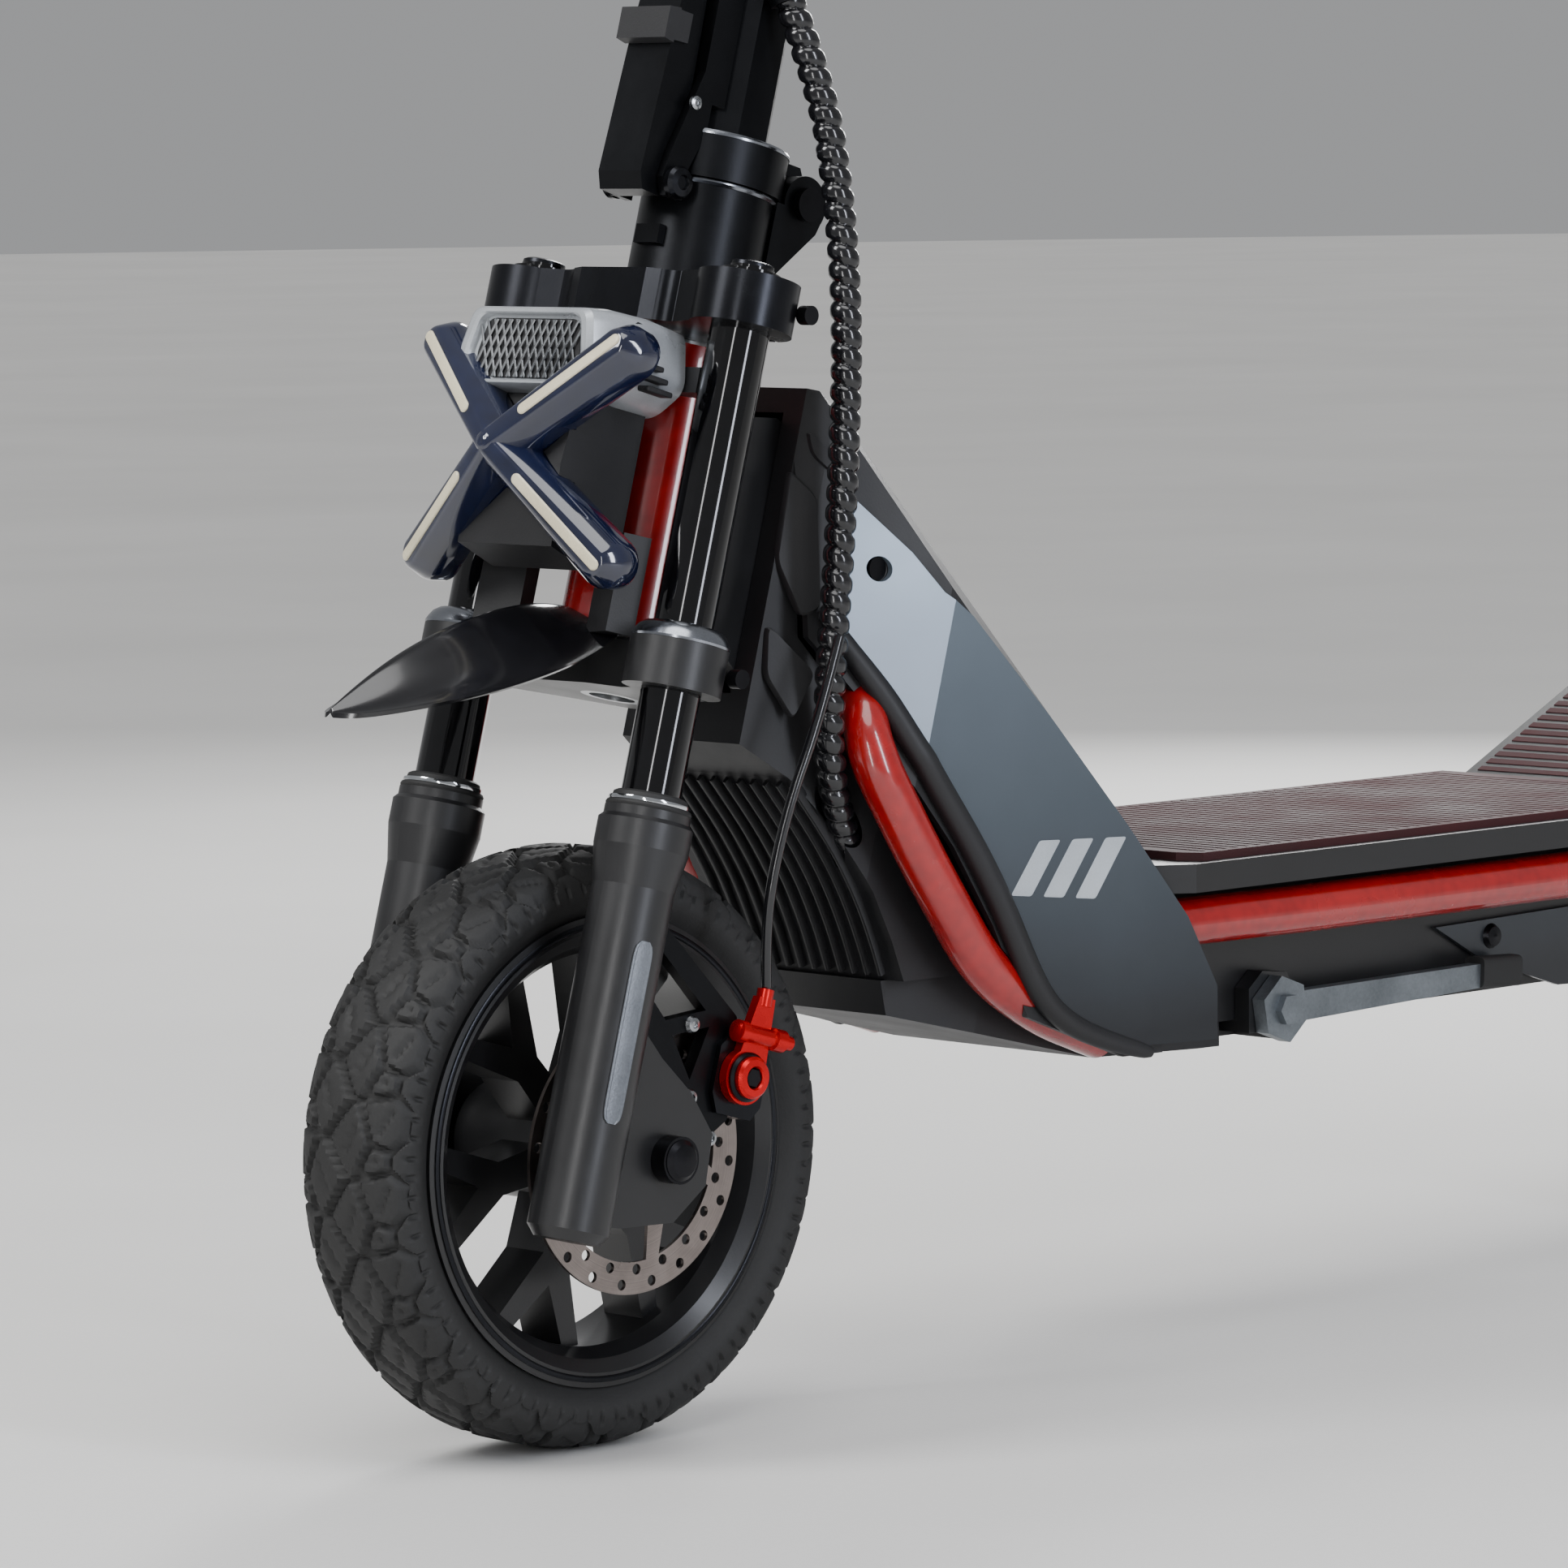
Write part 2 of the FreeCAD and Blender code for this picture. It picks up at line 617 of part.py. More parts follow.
def latch_catch():
    """Safety slider that rides on the face of the latch lever."""
    cap = plate_y([(54.9, 508), (61, 509), (61, 524), (53.8, 525)], -16.5, 16.5)
    side = plate_y([(46, 510), (60, 509), (60, 524), (46, 524)], 14.7, 16.5)
    return join([cap, side, mirrored(side)])


def handlebar():
    """Straight bar, thick in the middle and tapering to the grips, open at both ends."""
    profile = [(0, -BAR_HALF), (BAR_R, -BAR_HALF), (BAR_R, -78), (BAR_MID_R, -68), (BAR_MID_R, 68), (BAR_R, 78),
               (BAR_R, BAR_HALF), (0, BAR_HALF)]
    bar = turned_y(profile, 0, BAR_Z)
    bar = bar.cut(rod("y", 8.6, -BAR_HALF - 1, BAR_HALF + 1, 0, BAR_Z))
    for side in (1, -1):
        y0, y1 = sorted((side * (BAR_HALF - BAR_END_DEPTH), side * (BAR_HALF + 1)))
        bar = bar.cut(rod("y", BAR_END_R, y0, y1, 0, BAR_Z))
    return bar


def handlebar_clamp():
    block = plate_y([(-20, 1200), (20, 1200), (27, 1212), (27, 1232), (18, 1243), (-18, 1243), (-27, 1232),
                     (-27, 1212)], -28, 28)
    return block.cut(rod("y", BAR_MID_R, -40, 40, 0, BAR_Z))


def grips():
    profile = [(BAR_R, 216), (19, 216), (19, 220), (16, 222), (15.5, 280), (16.5, 335), (17.5, 341),
               (17, BAR_HALF + 2), (BAR_END_R + 0.4, BAR_HALF + 2), (BAR_END_R + 0.4, BAR_HALF), (BAR_R, BAR_HALF)]
    grip = turned_y(profile, 0, BAR_Z)
    return [grip, mirrored(grip)]


def display_unit():
    case = plate_y([(-44, 1238), (-30, 1246), (34, 1270), (40, 1264), (40, 1256), (-28, 1243.2), (-38, 1230)],
                   -40, 40)
    return case.cut(handlebar_clamp())


def control_pods():
    """Two lever perches, the left switch pod and the two halves of the right throttle pod, on the bar."""
    y0, y1 = 186, 208
    ring = pipe("y", 16, BAR_R, y0, y1, 0, BAR_Z)
    ear = box(10, 40, y0, y1, BAR_Z - 8, BAR_Z + 8)
    perch = join([ring, ear]).cut(rod("y", BAR_R, y0 - 1, y1 + 1, 0, BAR_Z))
    gap = box(24, 42, y0 - 1, y1 + 1, BAR_Z - 4.3, BAR_Z + 4.3)
    perch = perch.cut(gap).cut(rod("z", LEVER_PIN_R + RUN, BAR_Z - 22, BAR_Z + 28, *LEVER_PIN))
    pod = plate_y([(-20, BAR_Z - 14), (10, BAR_Z - 16), (17, BAR_Z), (10, BAR_Z + 16), (-20, BAR_Z + 14)],
                  142, 180)
    pod = pod.cut(rod("y", BAR_R, 100, 200, 0, BAR_Z)).cut(rod("x", HORN_R + RUN, -25, -12.5, HORN_Y, BAR_Z))
    throttle = [pipe("y", 18, BAR_R, a, b, 0, BAR_Z) for a, b in ((-180, -164), (-147, -136))]
    return both(perch) + [pod] + throttle


def brake_lever(side):
    """Two-finger lever on a pin in its perch."""
    blade = plate_z([(27, 190), (39, 190), (41, 204), (56, 228), (66, 262), (70, 330), (62, 334), (57, 266),
                     (46, 236), (30, 206)], BAR_Z - 4, BAR_Z + 4)
    blade = join([blade, rod("z", 7, BAR_Z - 4, BAR_Z + 4, *LEVER_PIN)])
    pin = rod("z", LEVER_PIN_R, BAR_Z - 9, BAR_Z + 9, *LEVER_PIN)
    shapes = [blade.cut(pin), pin]
    return shapes if side > 0 else [mirrored(shape) for shape in shapes]


def thumb_throttle():
    """Paddle on a ring that turns on the bar between the two halves of its pod."""
    ring = pipe("y", 18, BAR_R + RUN, -163.7, -147.3, 0, BAR_Z)
    paddle = plate_y([(-10, BAR_Z - 12), (-24, BAR_Z - 34), (-32, BAR_Z - 34), (-30, BAR_Z - 26), (-17, BAR_Z - 4)],
                     -163.7, -147.3)
    return join([ring, paddle]).cut(rod("y", BAR_R + RUN, -170, -140, 0, BAR_Z))


def horn_button():
    return rod("x", HORN_R, -23.5, -15.2, HORN_Y, BAR_Z)


# ---------------------------------------------------------------- harness and brake cable, whole scooter frame
HARNESS_ROUTE = [(359, 31, 668), (352, 44, 630), (353, 57, 575), (359, 67, 517), (367, 72, 460),
                 (373, 73, 405), (377, 70, 350), (371, 63, 302), (338, 44, 264)]
CABLE_ROUTE = [(381, 81.5, 374), (398, 85, 338), (415, 82, 300), (424, 78.5, 264), (425, 75, 237),
               (421.9, 71.8, 213.5)]


def cords():
    for name, route, r in (("control_harness", HARNESS_ROUTE, HARNESS_R), ("brake_cable", CABLE_ROUTE, CABLE_R)):
        wire, radii = tube_path(route)
        print(name, "length", round(wire.Length, 1), "bend radii", [round(q) for q in radii])
        save(name, swept_tube(route, r))


# ---------------------------------------------------------------- frame and body
def steering_prism(plan, u0, u1, inset=0.0):
    """Prism along the steering axis with the given half plan, both sides; inset thins it in Y."""
    right = [(v, y - inset) for v, y in plan]
    points = right + [(v, -y) for v, y in reversed(right)]
    return steered(plate_z(points, u0, u1))


def roof_prism(inset=0.0):
    """Sloping top of the neck: a ridge with falling sides, carried along the neck's slope."""
    section = [Vector(0, -130, -500), Vector(0, -130, -77 - inset), Vector(0, -26, -inset),
               Vector(0, 26, -inset), Vector(0, 130, -77 - inset), Vector(0, 130, -500)]
    prism = polygon(section).extrude(Vector(520, 0, 0))
    prism.translate(Vector(-120, 0, 0))
    prism.rotate(Vector(0, 0, 0), Vector(0, 0, 1), 180)
    prism.rotate(Vector(0, 0, 0), Vector(0, 1, 0), -47)
    prism.translate(Vector(at(143), 0, 492))
    return prism


def neck_block(inset=0.0):
    """Outer form of the neck cover, or its inside when inset is above zero."""
    wide_plan = [(-48 - inset, 40), (-60, 49.3), (-127, 80.2), (-345, 106.2)]
    narrow_plan = [(-48 - inset, 40), (-90, 52), (-127, 60), (-200, 64), (-345, 66)]
    wide_side = RIDGE + [(326, 252.4), (299.7, 252.4), (299.7, 162), (275, 162), (217, 186), (198, 231),
                         (176, 270), (148, 308), (136, 338), (112, 372)]
    narrow_side = RIDGE + [(326, 252.4), (299.7, 252.4), (299.7, 206), (163, 206), (156, 226), (145, 250),
                           (128, 276), (103, 306), (64, 334), (60, 500)]
    wide = side_plate(wide_side, -120, 120).common(steering_prism(wide_plan, -200, 369, inset))
    narrow = side_plate(narrow_side, -120, 120).common(steering_prism(narrow_plan, -200, 369, inset))
    return join([wide, narrow]).common(roof_prism(inset))


def neck_cover():
    inner = neck_block(3.5).common(inner_limit())
    cover = neck_block().cut(inner).cut(harness_gland())
    cover = cover.cut(steered(box(-64, -40, -27.4, 27.4, 222, 357)))
    for tube in red_tubes(0.4):
        cover = cover.cut(tube)
    return biggest(cover)


def inner_limit():
    """Keeps the cover's end walls: the hollow stops short of the outline."""
    outline = [(60, 484), (140, 479), (170, 466), (192, 445), (226, 406), (272, 363), (304, 321), (318, 288),
               (318, 256), (301, 256), (301, 150), (167, 150), (167, 212), (160, 230), (149, 254), (132, 281),
               (105, 312), (64, 341)]
    return side_plate(outline, -120, 120)


def biggest(shape):
    return sorted(shape.Solids, key=lambda s: s.Volume)[-1]


def harness_gland():
    """Entry for the harness in the left side of the neck."""
    return swept_tube(HARNESS_ROUTE[-4:], HARNESS_R + 1.5)


def belly_cover():
    """Lower shell under the neck, with slanted vents in its nose."""
    side = [(160, 205.7), (162, 189), (285, 158), (361, 155), (430, 154), (438, 160), (438, 167.7),
            (299.7, 167.7), (299.7, 205.7)]
    inner_side = [(164, 210), (166, 192), (285, 161.5), (361, 158.5), (427, 157.5), (427, 170), (299.7, 170),
                  (299.7, 210)]
    plan = [(-100, 40), (-163, 50), (-215, 62), (-290, 68), (-600, 70)]
    outer = side_plate(side, -120, 120).common(steering_prism(plan, -400, 500, 0))
    inner = side_plate(inner_side, -120, 120).common(steering_prism(plan, -400, 500, 3))
    shell = outer.cut(inner)
    shell = shell.cut(box(at(STAND[0] - 22), at(STAND[0] + 20), 40, 100, 140, 180))
    for side in (1, -1):
        y0, y1 = sorted((side * 37.6, side * 58.4))
        shell = shell.cut(box(at(420), at(445), y0, y1, LONGERON_Z[0] - 0.4, 170))
    for tube in red_tubes(0.4):
        shell = shell.cut(tube)
    return biggest(shell)


def side_panels():
    """Grey plates: the folded front pair on the neck, and the flat rear pair on the tray."""
    outer = steering_prism(PANEL_PLAN, -200, 500, 0.0)
    inner = steering_prism(PANEL_PLAN, -200, 500, WALL)
    plates = outer.cut(inner).common(side_plate(PANEL_SIDE, 40, 140))
    front = plates.cut(rod("y", 6, 0, 140, at(145), 403))
    rear = side_plate(REAR_PANEL_SIDE, TRAY_HALF_W + 0.3, TRAY_HALF_W + 3.3)
    rear = rear.cut(rod("y", 4, 50, 100, at(571), 193)).cut(rod("y", 4, 50, 100, at(742), 184))
    return [front, mirrored(front), rear, mirrored(rear)]


def panel_bolts():
    """Button-head screws that hold the side panels on."""
    bolts = []
    head = rod("y", 5.5, 56.0, 66.0, at(145), 403).cut(neck_block())
    bolts += both(head)
    for station, height in ((571, 193), (742, 184)):
        head = turned_y([(0, TRAY_HALF_W + 0.1), (3.9, TRAY_HALF_W + 0.1), (3.9, TRAY_HALF_W + 3.4),
                         (6.5, TRAY_HALF_W + 3.4), (5, TRAY_HALF_W + 6), (0, TRAY_HALF_W + 6.5)], at(station), height)
        bolts += both(head)
    return bolts


def neck_beam():
    """Box section from the head tube down to the front of the tray."""
    outline = [(60, 478), (118, 474), (160, 446), (292, 256), (299.5, 236), (299.5, 176), (226, 182), (62, 390)]
    beam = side_plate(outline, -27, 27)
    inner_outline = [(112, 462), (154, 438), (284, 252), (284, 190), (232, 190), (80, 390)]
    beam = beam.cut(side_plate(inner_outline, -23, 23))
    return beam.cut(steered(rod("z", HEAD_R, 100, 500))).cut(steered(box(0, 200, -60, 60, 0, 600)))


def frame_spine():
    """Neck beam, front plate, two longerons under the tray, rear yoke and kickstand bracket."""
    z0, z1 = LONGERON_Z
    plate = box(at(293.5), at(299.5), -60, 60, z0, 236)
    parts = [neck_beam(), plate]
    for side in (1, -1):
        y0, y1 = sorted((side * 38, side * 58))
        parts.append(box(at(293.5), at(800), y0, y1, z0, z1))
        yoke = side_plate([(745.3, z0), (745.3, 236), (770, 246), (826, 282), (850, 290), (856, 276), (838, 262),
                           (806, 224), (803, 176), (795, z0)], side * 60, side * 66)
        foot = side_plate([(745.3, z0), (745.3, z1), (803, z1), (795, z0)], side * 56, side * 61)
        parts += [yoke, foot]
    parts.append(box(at(745.3), at(752), -61, 61, z0, 236))
    parts.append(box(at(440), at(446), -58, 58, z0, z1))
    b, z = STAND
    arm = box(at(b - 18), at(b + 16), 50, TRAY_HALF_W + 9, z0, z1)
    boss = side_plate([(b - 18, z0), (b - 18, 184), (b - 8, 192), (b + 10, 190), (b + 16, 180), (b + 16, z0)],
                      TRAY_HALF_W + 0.5, TRAY_HALF_W + 10)
    parts += [arm, boss]
    whole = join(parts)
    whole = whole.cut(rod("y", REAR_AXLE_R + RUN, -80, 80, at(ARM_PIVOT[0]), ARM_PIVOT[1]))
    whole = whole.cut(rod("y", STAND_PIN_R + RUN, 60, 100, at(b), z))
    for tube in red_tubes():
        whole = whole.cut(tube)
    for side in (1, -1):
        y = side * SHOCK_Y
        whole = whole.fuse(rod("y", SHOCK_PIN_R, y - 10, y + 10, at(SHOCK_TOP[0]), SHOCK_TOP[1]))
    return whole


RAIL_PATH = [(at(255), 60, 224), (at(284), 86, RAIL_Z), (at(345), RAIL_Y - 0.5, RAIL_Z + 0.5),
             (at(400), RAIL_Y, RAIL_Z), (at(735), RAIL_Y, RAIL_Z), (at(772), 88, RAIL_Z), (at(795), 76, RAIL_Z)]
LOOP_PATH = [(at(146), 51, 350), (at(127), 76, 320), (at(158), 81, 264), (at(197), 81, 210), (at(236), 80, 186),
             (at(282), 75, 170)]


def red_tubes(extra=0.0):
    """The long side rails beside the deck and the bent loops on the neck, as solid bars."""
    bars = [swept_tube(RAIL_PATH, RAIL_R + extra), swept_tube(LOOP_PATH, LOOP_R + extra)]
    return [side for bar in bars for side in both(bar)]


def frame_tubes():
    rail = swept_tube(RAIL_PATH, RAIL_R, RAIL_R - 2)
    loop = swept_tube(LOOP_PATH, LOOP_R, LOOP_R - 2)
    return both(rail) + both(loop)


def deck_tray():
    """Open-topped tray for the battery, with the round socket of the charge port in its right wall."""
    b0, b1 = TRAY_B
    z0, z1 = TRAY_Z
    tray = box(at(b0), at(b1), -TRAY_HALF_W, TRAY_HALF_W, z0, z1)
    tray = tray.cut(box(at(b0 + WALL), at(b1 - WALL), -TRAY_HALF_W + WALL, TRAY_HALF_W - WALL, z0 + WALL, z1 + 1))
    barrel = rod("y", PORT_R + 2.5, -TRAY_HALF_W, -TRAY_HALF_W + PORT_DEPTH, at(PORT[0]), PORT[1])
    return tray.fuse(barrel).cut(rod("y", PORT_R, -TRAY_HALF_W - 1, -TRAY_HALF_W + PORT_DEPTH - 1.5,
                                     at(PORT[0]), PORT[1]))


def deck_lid():
    """Deck board with a turned-down rim; its front corners are cut back beside the neck."""
    w = LID_HALF_W
    z1 = DECK_TOP
    z0 = z1 - LID_T
    lid = plate_z([(at(300), -92), (at(300), 92), (at(320), w), (at(745), w), (at(745), -w), (at(320), -w)], z0, z1)
    under = plate_z([(at(306), -86), (at(306), 86), (at(323), w - 3), (at(742), w - 3), (at(742), 3 - w),
                     (at(323), 3 - w)], z0 - 1, z1 - 5)
    rim = pipe_box(at(300), at(745), TRAY_HALF_W, z0, z1 - 4)
    return lid.cut(under).fuse(rim).removeSplitter()


def pipe_box(x0, x1, half_w, z0, z1):
    """Rectangular lip that stands on the rim of the tray."""
    return box(x0 - 0.1, x1, -half_w, half_w, z0, z1).cut(box(x0 - 4, x1 + 4, -half_w + 3, half_w - 3, z0, z1))


def deck_mat():
    """Ribbed rubber mat; the ribs run across the deck."""
    w = MAT_HALF_W
    z0 = DECK_TOP
    mat = plate_z([(at(327), -86), (at(327), 86), (at(334), w), (at(738), w), (at(738), -w), (at(334), -w)],
                  z0, z0 + MAT_T)
    grooves = []
    for i in range(49):
        x = at(338 + 8 * i)
        grooves.append(box(x, x - 3, -w + 5, w - 5, z0 + MAT_T - 1.2, z0 + MAT_T + 1))
    return mat.cut(Part.makeCompound(grooves))


def battery_pack():
    return box(at(312), at(640), -66, 66, 171.5, 232)


def motor_controller():
    case = box(at(652), at(738), -58, 58, 171.5, 224)
    fins = [box(at(656 + 8 * i), at(659 + 8 * i), -58, 58, 216, 225) for i in range(10)]
    return case.cut(Part.makeCompound(fins))


def kick_plate():
    """Raised foot rest behind the deck, with the catch that holds the folded stem."""
    ramp = side_plate([(745.2, 252), (862, 308), (866, 303), (752, 247), (745.2, 240)], -92, 92)
    skirts = []
    for side in (1, -1):
        skirt = side_plate([(745.2, 252), (862, 308), (864, 298), (840, 282), (760, 238.5), (745.2, 238.5)],
                           side * 89, side * 92)
        skirts.append(skirt)
    catch = side_plate([(776, 264), (772, 296), (784, 302), (800, 298), (802, 277)], -16, 16)
    catch = catch.cut(side_plate([(781, 280), (779, 292), (792, 294), (795, 282)], -20, 20))
    return join([ramp, catch] + skirts)


def polar(r, degrees):
    """Station and height of a point round the mudguard's centre, angles from straight back."""
    angle = math.radians(degrees)
    return FENDER_B + r * math.cos(angle), FENDER_Z + r * math.sin(angle)


def rear_fender():
    """Arched mudguard over the rear tyre, with a tongue screwed under the kick plate."""
    r0, r1 = FENDER_R
    arch = pipe("y", r1, r0, -47, 47, at(FENDER_B), FENDER_Z)
    keep = side_plate([(FENDER_B, FENDER_Z), (867.5, 270), (867.5, 420), (FENDER_B, 420), polar(260, 45),
                       polar(260, 28)], -60, 60)
    tongue = side_plate([(820, 280.0), (867.5, 303.4), (867.5, 310.6), (876, 316), (874, 304), (822, 276.5)],
                        -38, 38)
    return join([arch.common(keep), tongue])


def tail_lamp():
    """Wide red lens on the back of the mudguard."""
    outline = [polar(178, 36), polar(189, 37), polar(191, 42), polar(189, 49), polar(178, 52)]
    lens = side_plate(outline, -32, 32)
    return lens.cut(rod("y", FENDER_R[1], -60, 60, at(FENDER_B), FENDER_Z))


# ---------------------------------------------------------------- rear suspension
def swingarm():
    """Two arms joined by the pivot tube, with the pivot shaft and the shock pins."""
    bp, zp = ARM_PIVOT
    arms = []
    outline = [(bp - 16, zp - 8), (bp - 8, zp + 16), (bp + 12, zp + 18), (885, 190), (945, 164), (978, 158),
               (986, 140), (974, 120), (944, 118), (880, 152), (bp + 36, zp - 19), (bp - 8, zp - 18)]
    for side in (1, -1):
        arms.append(side_plate(outline, side * 46, side * 58))
    tube = rod("y", 15, -58, 58, at(bp), zp)
    pins = both(rod("y", SHOCK_PIN_R, 57, 85, at(SHOCK_FOOT[0]), SHOCK_FOOT[1]))
    shaft = rod("y", REAR_AXLE_R, -70, 70, at(bp), zp)
    whole = join(arms + [tube] + pins).cut(shaft).cut(rod("y", REAR_AXLE_R, -80, 80, at(WHEELBASE), TYRE_R))
    return [whole, shaft]


def shock_axis():
    """Direction from a shock's upper eye to its lower one, and the distance between them."""
    ahead = Vector(at(SHOCK_FOOT[0]) - at(SHOCK_TOP[0]), 0, SHOCK_FOOT[1] - SHOCK_TOP[1])
    length = ahead.Length
    ahead.normalize()
    return ahead, length


def along_shock(side, r, s0, s1):
    ahead = shock_axis()[0]
    top = Vector(at(SHOCK_TOP[0]), side * SHOCK_Y, SHOCK_TOP[1])
    return Part.makeCylinder(r, s1 - s0, top + ahead * s0, ahead)


def shock_bodies():
    """Damper bodies, each with its upper eye and spring perch."""
    shapes = []
    for side in (1, -1):
        eye = rod("y", 10, side * SHOCK_Y - 8, side * SHOCK_Y + 8, at(SHOCK_TOP[0]), SHOCK_TOP[1])
        body = join([eye, along_shock(side, 9, 4, 62), along_shock(side, 16, 14, 18)])
        body = body.cut(along_shock(side, SHOCK_ROD_R + RUN, 30, 70))
        shapes.append(body.cut(rod("y", SHOCK_PIN_R + RUN, -100, 100, at(SHOCK_TOP[0]), SHOCK_TOP[1])))
    return shapes


def shock_rods():
    """Damper rods with their lower eyes; the eye has play, which the straight-line joint ratio needs."""
    length = shock_axis()[1]
    shapes = []
    for side in (1, -1):
        eye = rod("y", 9, side * SHOCK_Y - 7, side * SHOCK_Y + 7, at(SHOCK_FOOT[0]), SHOCK_FOOT[1])
        stem = along_shock(side, SHOCK_ROD_R, 52, length - 4)
        foot = along_shock(side, 15, length - 17, length - 13)
        shape = join([eye, stem, foot])
        shapes.append(shape.cut(rod("y", SHOCK_PIN_R + 0.5, -100, 100, at(SHOCK_FOOT[0]), SHOCK_FOOT[1])))
    return shapes


def shock_springs():
    length = shock_axis()[1]
    return [along_shock(side, 15, 18.2, length - 17.2).cut(along_shock(side, 11, 10, length)) for side in (1, -1)]


# ---------------------------------------------------------------- small moving parts of the deck
def kickstand_leg():
    """Prop leg folded back along the deck, with its faceted head and pivot bolt."""
    b, z = STAND
    y0 = TRAY_HALF_W + 10.4
    head = plate_y([(at(b) + 17 * math.cos(math.radians(60 * i + 20)), z + 17 * math.sin(math.radians(60 * i + 20)))
                    for i in range(6)], y0, y0 + 8)
    leg = side_plate([(b + 8, z - 7), (b + 8, z + 8), (b + 150, z + 9), (b + 176, z + 6), (b + 178, z - 2),
                      (b + 150, z - 3)], y0, y0 + 8)
    pin = rod("y", STAND_PIN_R, TRAY_HALF_W + 1, y0 + 9, at(b), z)
    bolt = join([pin, hexagon(8, y0 + 8, y0 + 12, at(b), z)])
    arm = join([head, leg]).cut(rod("y", STAND_PIN_R, 60, 120, at(b), z))
    return [arm, bolt]


def charge_cap():
    """Round cap over the charge socket, low on the right side of the tray, hinged at its lower edge."""
    y1 = -TRAY_HALF_W - 0.3
    x, z = at(PORT[0]), PORT[1]
    cap = rod("y", 14, y1 - 3, y1, x, z)
    lug = box(x - 5, x + 5, y1 - 3, y1, CAP_HINGE_Z, CAP_HINGE_Z + 9)
    knuckle = rod("x", 1.5, x - 5, x + 5, y1 - 1.5, CAP_HINGE_Z)
    return join([cap, lug, knuckle])


# ---------------------------------------------------------------- build
def main():
    os.makedirs("parts", exist_ok=True)
    save("front_tyre", tyre(FRONT_AXLE_X))
    save("front_rim", front_rim())
    save("front_bearings", front_bearings())
    save("front_axle", front_axle())
    save("brake_rotor", brake_rotor())
    save("rear_tyre", tyre(at(WHEELBASE)))
    save("hub_motor", hub_motor())
    save("motor_stator", motor_stator())

    steering_nodes = {
        "fork_sliders": fork_sliders, "fork_springs": fork_springs, "stanchions": stanchions,
        "lower_clamp": lower_clamp, "top_clamp": top_clamp, "steerer": steerer, "clamp_bolts": clamp_bolts,
        "head_tube": head_tube, "headset_bearings": headset_bearings, "caliper_bracket": caliper_bracket,
        "brake_caliper": brake_caliper, "caliper_arm": caliper_arm, "lamp_housing": lamp_housing,
        "lamp_cross": lamp_cross, "light_strips": light_strips, "front_fender": front_fender,
        "stem_base": stem_base, "fold_pin": fold_pin, "latch_lever": latch_lever,
        "latch_catch": latch_catch, "handlebar": handlebar, "handlebar_clamp": handlebar_clamp,
        "grips": grips, "display_unit": display_unit, "control_pods": control_pods,
        "thumb_throttle": thumb_throttle, "horn_button": horn_button,
    }
    for name, make in steering_nodes.items():
        shapes = make()
        if not isinstance(shapes, list):
            shapes = [shapes]
        save(name, [steered(shape) for shape in shapes])
    save("stem_tube", stem_tube())
    for name, side in (("brake_lever_left", 1), ("brake_lever_right", -1)):
        save(name, [steered(shape) for shape in brake_lever(side)])
    cords()

    body_nodes = {
        "neck_cover": neck_cover, "belly_cover": belly_cover, "side_panels": side_panels,
        "panel_bolts": panel_bolts, "frame_spine": frame_spine, "frame_tubes": frame_tubes,
        "deck_tray": deck_tray, "deck_lid": deck_lid, "deck_mat": deck_mat, "battery_pack": battery_pack,
        "motor_controller": motor_controller, "kick_plate": kick_plate, "rear_fender": rear_fender,
        "tail_lamp": tail_lamp, "swingarm": swingarm, "shock_bodies": shock_bodies, "shock_rods": shock_rods,
        "shock_springs": shock_springs, "kickstand_leg": kickstand_leg, "charge_cap": charge_cap,
    }
    for name, make in body_nodes.items():
        save(name, make())


main()
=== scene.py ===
"""Looks of a folding electric kick scooter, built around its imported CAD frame.

Lengths are millimetres until a mesh is made. Two frames are used: the scooter's own (X forward, Y to the
rider's left, Z up) and the steering frame (x forward of the steering axis, y left, z up the axis).
"""
from __future__ import annotations

import json
import logging
import math
from dataclasses import dataclass
from enum import Enum
from typing import Callable, Optional, Sequence

import bmesh
import bpy
import numpy as np
from mathutils import Matrix, Vector

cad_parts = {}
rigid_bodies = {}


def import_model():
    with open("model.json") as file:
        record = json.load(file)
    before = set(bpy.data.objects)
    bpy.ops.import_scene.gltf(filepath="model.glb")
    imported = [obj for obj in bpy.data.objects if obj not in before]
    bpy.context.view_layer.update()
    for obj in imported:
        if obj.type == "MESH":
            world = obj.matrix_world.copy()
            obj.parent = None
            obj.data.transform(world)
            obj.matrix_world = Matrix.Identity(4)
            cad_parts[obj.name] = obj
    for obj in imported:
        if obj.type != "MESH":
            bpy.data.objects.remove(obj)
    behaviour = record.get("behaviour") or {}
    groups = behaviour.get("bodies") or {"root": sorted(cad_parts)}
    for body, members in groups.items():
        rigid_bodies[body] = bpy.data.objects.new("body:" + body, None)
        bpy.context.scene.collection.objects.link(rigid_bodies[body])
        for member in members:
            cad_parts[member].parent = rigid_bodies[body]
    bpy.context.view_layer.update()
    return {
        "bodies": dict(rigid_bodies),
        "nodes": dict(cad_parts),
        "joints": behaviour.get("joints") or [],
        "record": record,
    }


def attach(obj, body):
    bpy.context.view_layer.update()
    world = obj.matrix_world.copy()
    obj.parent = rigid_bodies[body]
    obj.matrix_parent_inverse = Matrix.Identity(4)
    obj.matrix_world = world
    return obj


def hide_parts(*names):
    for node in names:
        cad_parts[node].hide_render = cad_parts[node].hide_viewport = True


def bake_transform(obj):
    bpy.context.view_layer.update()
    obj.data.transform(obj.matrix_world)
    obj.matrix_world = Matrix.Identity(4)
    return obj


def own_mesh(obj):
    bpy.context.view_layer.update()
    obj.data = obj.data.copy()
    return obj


MM = 0.001
WELD_M = 1e-6                    # points closer than this are one
FRONT_AXLE_X = 485.0
